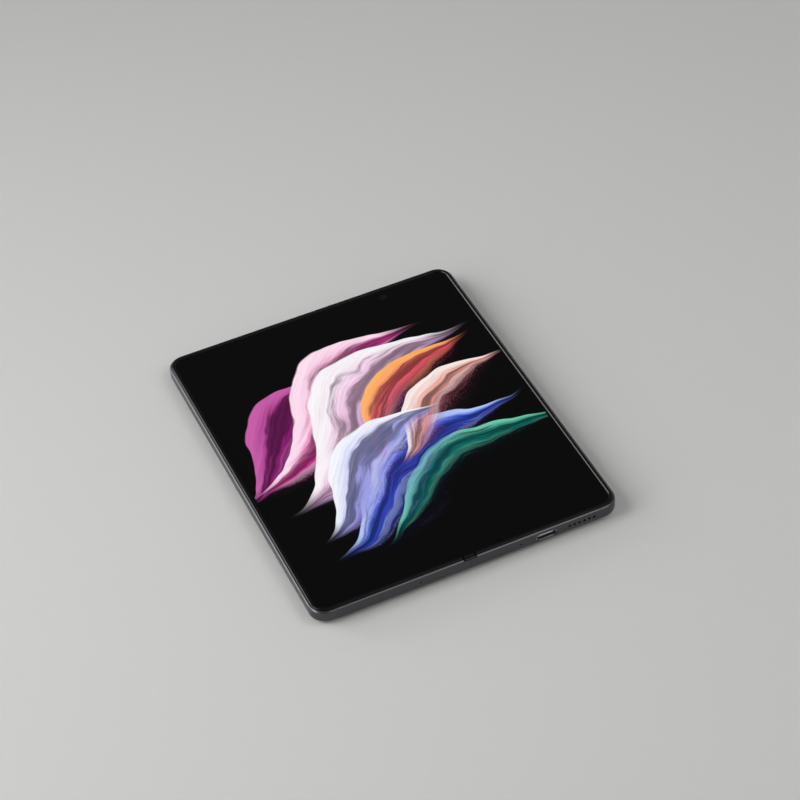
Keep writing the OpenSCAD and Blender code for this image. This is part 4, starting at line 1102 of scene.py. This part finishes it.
@dataclass
class SideKeys:
    """The power key with its fingerprint hollow, and the volume rocker."""

    cad: CadParts
    edge: float = 0.22
    slope: float = 0.12
    power_hollow: float = 0.07
    volume_hollow: float = 0.02
    end_steps: int = 9

    def key(self, node: str, hollow: float, finish: bpy.types.Material) -> bpy.types.Object:
        """A key with rounded edges and a shallow hollow in its face.

        Args:
            node: the CAD node that it stands for, which is also its body.
            hollow: depth of the hollow.
            finish: its material.

        Returns:
            The piece.
        """
        low, high = self.cad.box(node)
        middle = self.cad.middle(node)
        depth, length, height = high - low
        inner = self.edge + self.slope
        levels = [(0.0, 0.0)] + rounding(self.edge, depth - self.edge, self.edge)
        levels += [(inner, depth), (inner + self.slope, depth - hollow)]
        shell = loft(np.array(levels), (height / 2, length / 2), height / 2, self.end_steps)
        turn = Matrix(((0, 0, 1, low.x), (0, 1, 0, middle.y), (-1, 0, 0, middle.z), (0, 0, 0, 1)))
        made = piece(f"{node}_cap", shell, finish, turn)
        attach(made, node)
        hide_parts(node)
        return made

    def build(self) -> list[bpy.types.Object]:
        """Builds both keys."""
        finish = KEY_METAL.make()
        return [
            self.key("power_key", self.power_hollow, finish),
            self.key("volume_rocker", self.volume_hollow, finish),
        ]


@dataclass
class Openings:
    """What shows in the frame's openings: the USB contacts and the speakers' dust screens."""

    cad: CadParts
    contacts: int = 12
    contact_pitch: float = 0.5
    contact_width: float = 0.26
    contact_length: float = 3.6
    contact_height: float = 0.03
    contact_sink: float = 1.1
    tongue: float = 0.7
    hole: float = 0.55
    holes: int = 6
    hole_pitch: float = 2.1
    hole_steps: int = 5
    screen: float = 0.15
    screen_crown: float = 0.045
    screen_depth: float = 1.1

    def usb_contacts(self) -> bpy.types.Object:
        """Flat gold contacts on both faces of the socket's tongue, at an even pitch."""
        middle = self.cad.middle("usb_socket")
        start = self.cad.box("usb_socket")[0].y + self.contact_sink
        places = np.arange(self.contacts) - (self.contacts - 1) / 2
        half = self.contact_width / 2
        shell = Shell()
        for side in (-1, 1):
            face = middle.z + side * self.tongue / 2
            under, top = sorted((face, face + side * self.contact_height))
            for x in middle.x + places * self.contact_pitch:
                across = np.array([x - half, x + half])
                flat = np.full(2, top), np.full(2, under)
                shell = shell.join(slab(across, *flat, start, start + self.contact_length))
        made = piece("usb_contacts", shell, GOLD.make())
        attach(made, "right_half")
        return made

    def screens(self, half: Half, speaker: str, finish: bpy.types.Material) -> bpy.types.Object:
        """Dust screens in one row of speaker holes, at the end of the phone that its speaker is at.

        Args:
            half: the half they ride on.
            speaker: the speaker behind them.
            finish: their material.

        Returns:
            The piece.
        """
        edge = self.cad.box(f"{half.word}_frame")[1].y - self.screen_depth
        height = self.cad.middle("power_key").z
        middle = self.cad.middle(speaker)
        end = math.copysign(1, middle.y)
        levels = [(0.0, 0.0), (0.0, self.screen), (self.screen, self.screen + self.screen_crown)]
        disc = loft(np.array(levels), (self.hole, self.hole), self.hole, self.hole_steps)
        turn = Matrix(((1, 0, 0, 0), (0, 0, end, end * edge), (0, 1, 0, height), (0, 0, 0, 1)))
        shell = Shell()
        for place in np.arange(self.holes) - (self.holes - 1) / 2:
            shell = shell.join(disc.shift(middle.x + place * self.hole_pitch, 0, 0))
        made = piece(f"speaker_screens_{half.word}", shell, finish, turn)
        body = half.body
        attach(made, body)
        return made

    def build(self) -> list[bpy.types.Object]:
        """Builds the contacts and both rows of screens."""
        mesh = MESH.make()
        return [
            self.usb_contacts(),
            self.screens(Half.RIGHT, "bottom_speaker", mesh),
            self.screens(Half.LEFT, "top_speaker", mesh),
        ]


# ---------------------------------------------------------------------------- CAD finishes


NODE_FINISHES: dict[SurfaceFinish, tuple[str, ...]] = {
    ALUMINIUM: ("right_frame", "left_frame", "camera_island", "spine_cover", "card_tray"),
    BEZEL: ("right_bezel", "left_bezel", "spine_end_caps"),
    BREAKS: ("right_antenna_breaks", "left_antenna_breaks", "cover_display_panel"),
    BACK_GLASS: ("rear_glass",),
    PLATE: ("right_support_plate", "left_support_plate", "right_wing_plate", "left_wing_plate"),
    HINGE: ("right_hinge_brackets", "left_hinge_brackets", "spine_brackets", "gear_shafts",
            "spring_washers"),
    SCREWS: ("right_hinge_screws", "left_hinge_screws", "spine_screws", "right_board_screws",
             "left_board_screws"),
    GEARS: ("right_pinion", "right_outer_idler", "right_inner_idler", "left_inner_idler",
            "left_outer_idler", "left_pinion"),
    CAMERA: ("display_camera", "cover_camera"),
    SHIELD: ("main_board_shield", "card_reader"),
    CELL: ("right_battery", "left_battery"),
    PLASTIC: ("bottom_speaker", "top_speaker"),
    SWITCH: ("key_switches",),
    NICKEL: ("right_magnets", "left_magnets"),
    SOCKET: ("usb_socket", "vibration_motor"),
}


@dataclass
class CadSkin:
    """The finishes of the CAD nodes that show as they are."""

    cad: CadParts
    border: float = 0.4

    def build(self) -> list[bpy.types.Object]:
        """Gives every such node its finish. It makes no piece."""
        for finish, nodes in NODE_FINISHES.items():
            material = finish.make()
            for node in nodes:
                self.cad.dress(node, material)
        board = CircuitBoard().make()
        for node in ("main_board", "usb_board", "left_board"):
            self.cad.dress(node, board)
        coil = self.cad.middle("charging_coil")
        self.cad.dress("charging_coil", CoilWinding((coil.x, coil.y)).make())
        self.cad.dress("camera_windows", ClearGlass("camera_window_glass").make())
        low, high = self.cad.box("cover_display_panel")
        camera = self.cad.middle("cover_camera")
        border = (low.x + self.border, low.y + self.border, high.x - self.border, high.y - self.border)
        self.cad.dress("cover_glass", CoverGlass((camera.x, camera.y), border).make())
        return []


# ---------------------------------------------------------------------------- studio


def direction(azimuth: float, elevation: float) -> Vector:
    """Unit vector to an azimuth from -Y towards +X and an elevation, in degrees."""
    a, e = math.radians(azimuth), math.radians(elevation)
    return Vector((math.sin(a) * math.cos(e), -math.cos(a) * math.cos(e), math.sin(e)))


@dataclass(frozen=True)
class Lamp:
    """A soft square lamp that faces the phone.

    A spread below 180 degrees narrows its light, which keeps it off the floor beside the lamp.
    """

    name: str
    azimuth: float
    elevation: float
    distance: float
    size: float
    power: float
    spread: float = 180.0

    def build(self) -> None:
        """Hangs the lamp on a sphere round the phone and turns it to the middle."""
        data = bpy.data.lights.new(self.name, "AREA")
        data.shape = "SQUARE"
        data.size = self.size
        data.energy = self.power
        data.spread = math.radians(self.spread)
        lamp = place_in_scene(self.name, data)
        away = direction(self.azimuth, self.elevation)
        lamp.location = away * self.distance
        lamp.rotation_euler = away.to_track_quat("Z", "Y").to_euler()


@dataclass(frozen=True)
class ViewPoint:
    """The camera, by where it stands round a target and how far it is rolled."""

    azimuth: float = -21.389
    elevation: float = 43.614
    roll: float = -4.589
    distance: float = 1.00136
    target: tuple[float, float, float] = (0.012085, 0.011673, 0.0079)
    lens: float = 112.06
    sensor: float = 36.0
    nearest: float = 0.01

    def build(self) -> None:
        """Makes the camera and hands it to the scene."""
        data = bpy.data.cameras.new("view")
        data.lens = self.lens
        data.sensor_width = self.sensor
        data.clip_start = self.nearest
        view = place_in_scene("view", data)
        away = direction(self.azimuth, self.elevation)
        view.location = Vector(self.target) + away * self.distance
        facing = away.to_track_quat("Z", "Y").to_matrix().to_4x4()
        facing = facing @ Matrix.Rotation(math.radians(self.roll), 4, "Z")
        view.rotation_euler = facing.to_euler()
        bpy.context.scene.camera = view


@dataclass
class Studio:
    """A pale floor, a sky that is pale low down and dim overhead, soft lamps and the camera.

    The sky is pale up to the first height of its turn and dim from the second, where 0 is the
    horizon and 1 is overhead.
    """

    floor_radius: float = 6.0
    floor_sides: int = 64
    floor_colour: Colour = (0.56, 0.56, 0.55)
    floor_mottle: float = 0.02
    sky_pale: float = 0.62
    sky_dim: float = 0.16
    sky_turn: tuple[float, float] = (0.30, 0.52)
    lamps: tuple[Lamp, ...] = (
        Lamp("key_left", -100, 38, 1.1, 0.7, 2.3, spread=90.0),
        Lamp("fill_front", 40, 55, 1.4, 0.9, 6.0),
        Lamp("strip_left", -80, 12, 0.9, 0.35, 0.25, spread=60.0),
        Lamp("window_far_left", -133, 12, 1.3, 0.6, 0.9, spread=60.0),
    )

    def floor(self) -> None:
        """Lays a round floor, r cos t by r sin t, of a matte paint with a very faint mottle."""
        g = Graph.material("pale_floor")
        mottle = g.noise(g.place(), 3.0, detail=3.0)
        pale = tuple(c * (1 + self.floor_mottle) for c in self.floor_colour)
        material = g.finish(Base_Color=g.mix(mottle, self.floor_colour, pale), Roughness=0.75)
        t = np.linspace(0, 2 * math.pi, self.floor_sides, endpoint=False)
        points = self.floor_radius * np.stack([np.cos(t), np.sin(t), np.zeros_like(t)], axis=-1)
        mesh = bpy.data.meshes.new("floor")
        mesh.from_pydata(points.tolist(), [], [tuple(range(len(t)))])
        mesh.materials.append(material)
        made = place_in_scene("floor", mesh)

    def sky(self) -> None:
        """Makes the world: a grey by the height of the direction looked in."""
        world = bpy.data.worlds.new("studio")
        bpy.context.scene.world = world
        g = Graph(world)
        pale, dim = (self.sky_pale,) * 3, (self.sky_dim,) * 3
        low, high = self.sky_turn
        stops = ((0.0, pale), (low, pale), (high, dim), (1.0, dim))
        height = g.part(g.node("ShaderNodeTexCoord", output="Generated"), 2)
        grey = g.node("ShaderNodeValToRGB", {"stops": stops}, {0: height})
        g.end("ShaderNodeOutputWorld", g.node("ShaderNodeBackground", inputs={"Color": grey}))

    def build(self) -> None:
        """Sets the stage."""
        bpy.context.scene.view_settings.view_transform = "Standard"
        ViewPoint().build()
        self.floor()
        self.sky()
        for lamp in self.lamps:
            lamp.build()


def main() -> None:
    """Loads the frame, builds each sub-assembly round it and sets the stage."""
    logging.basicConfig(level=logging.INFO, format="%(name)s: %(message)s")
    cad = CadParts(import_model()["nodes"])
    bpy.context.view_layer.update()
    Studio().build()
    for assembly in (CadSkin, FoldingDisplay, FoldCables, RearCameras, SideKeys, Openings):
        for made in assembly(cad).build():
            log.info("built %s: %d faces", made.name, len(made.data.polygons))


if __name__ == "__main__":
    main()
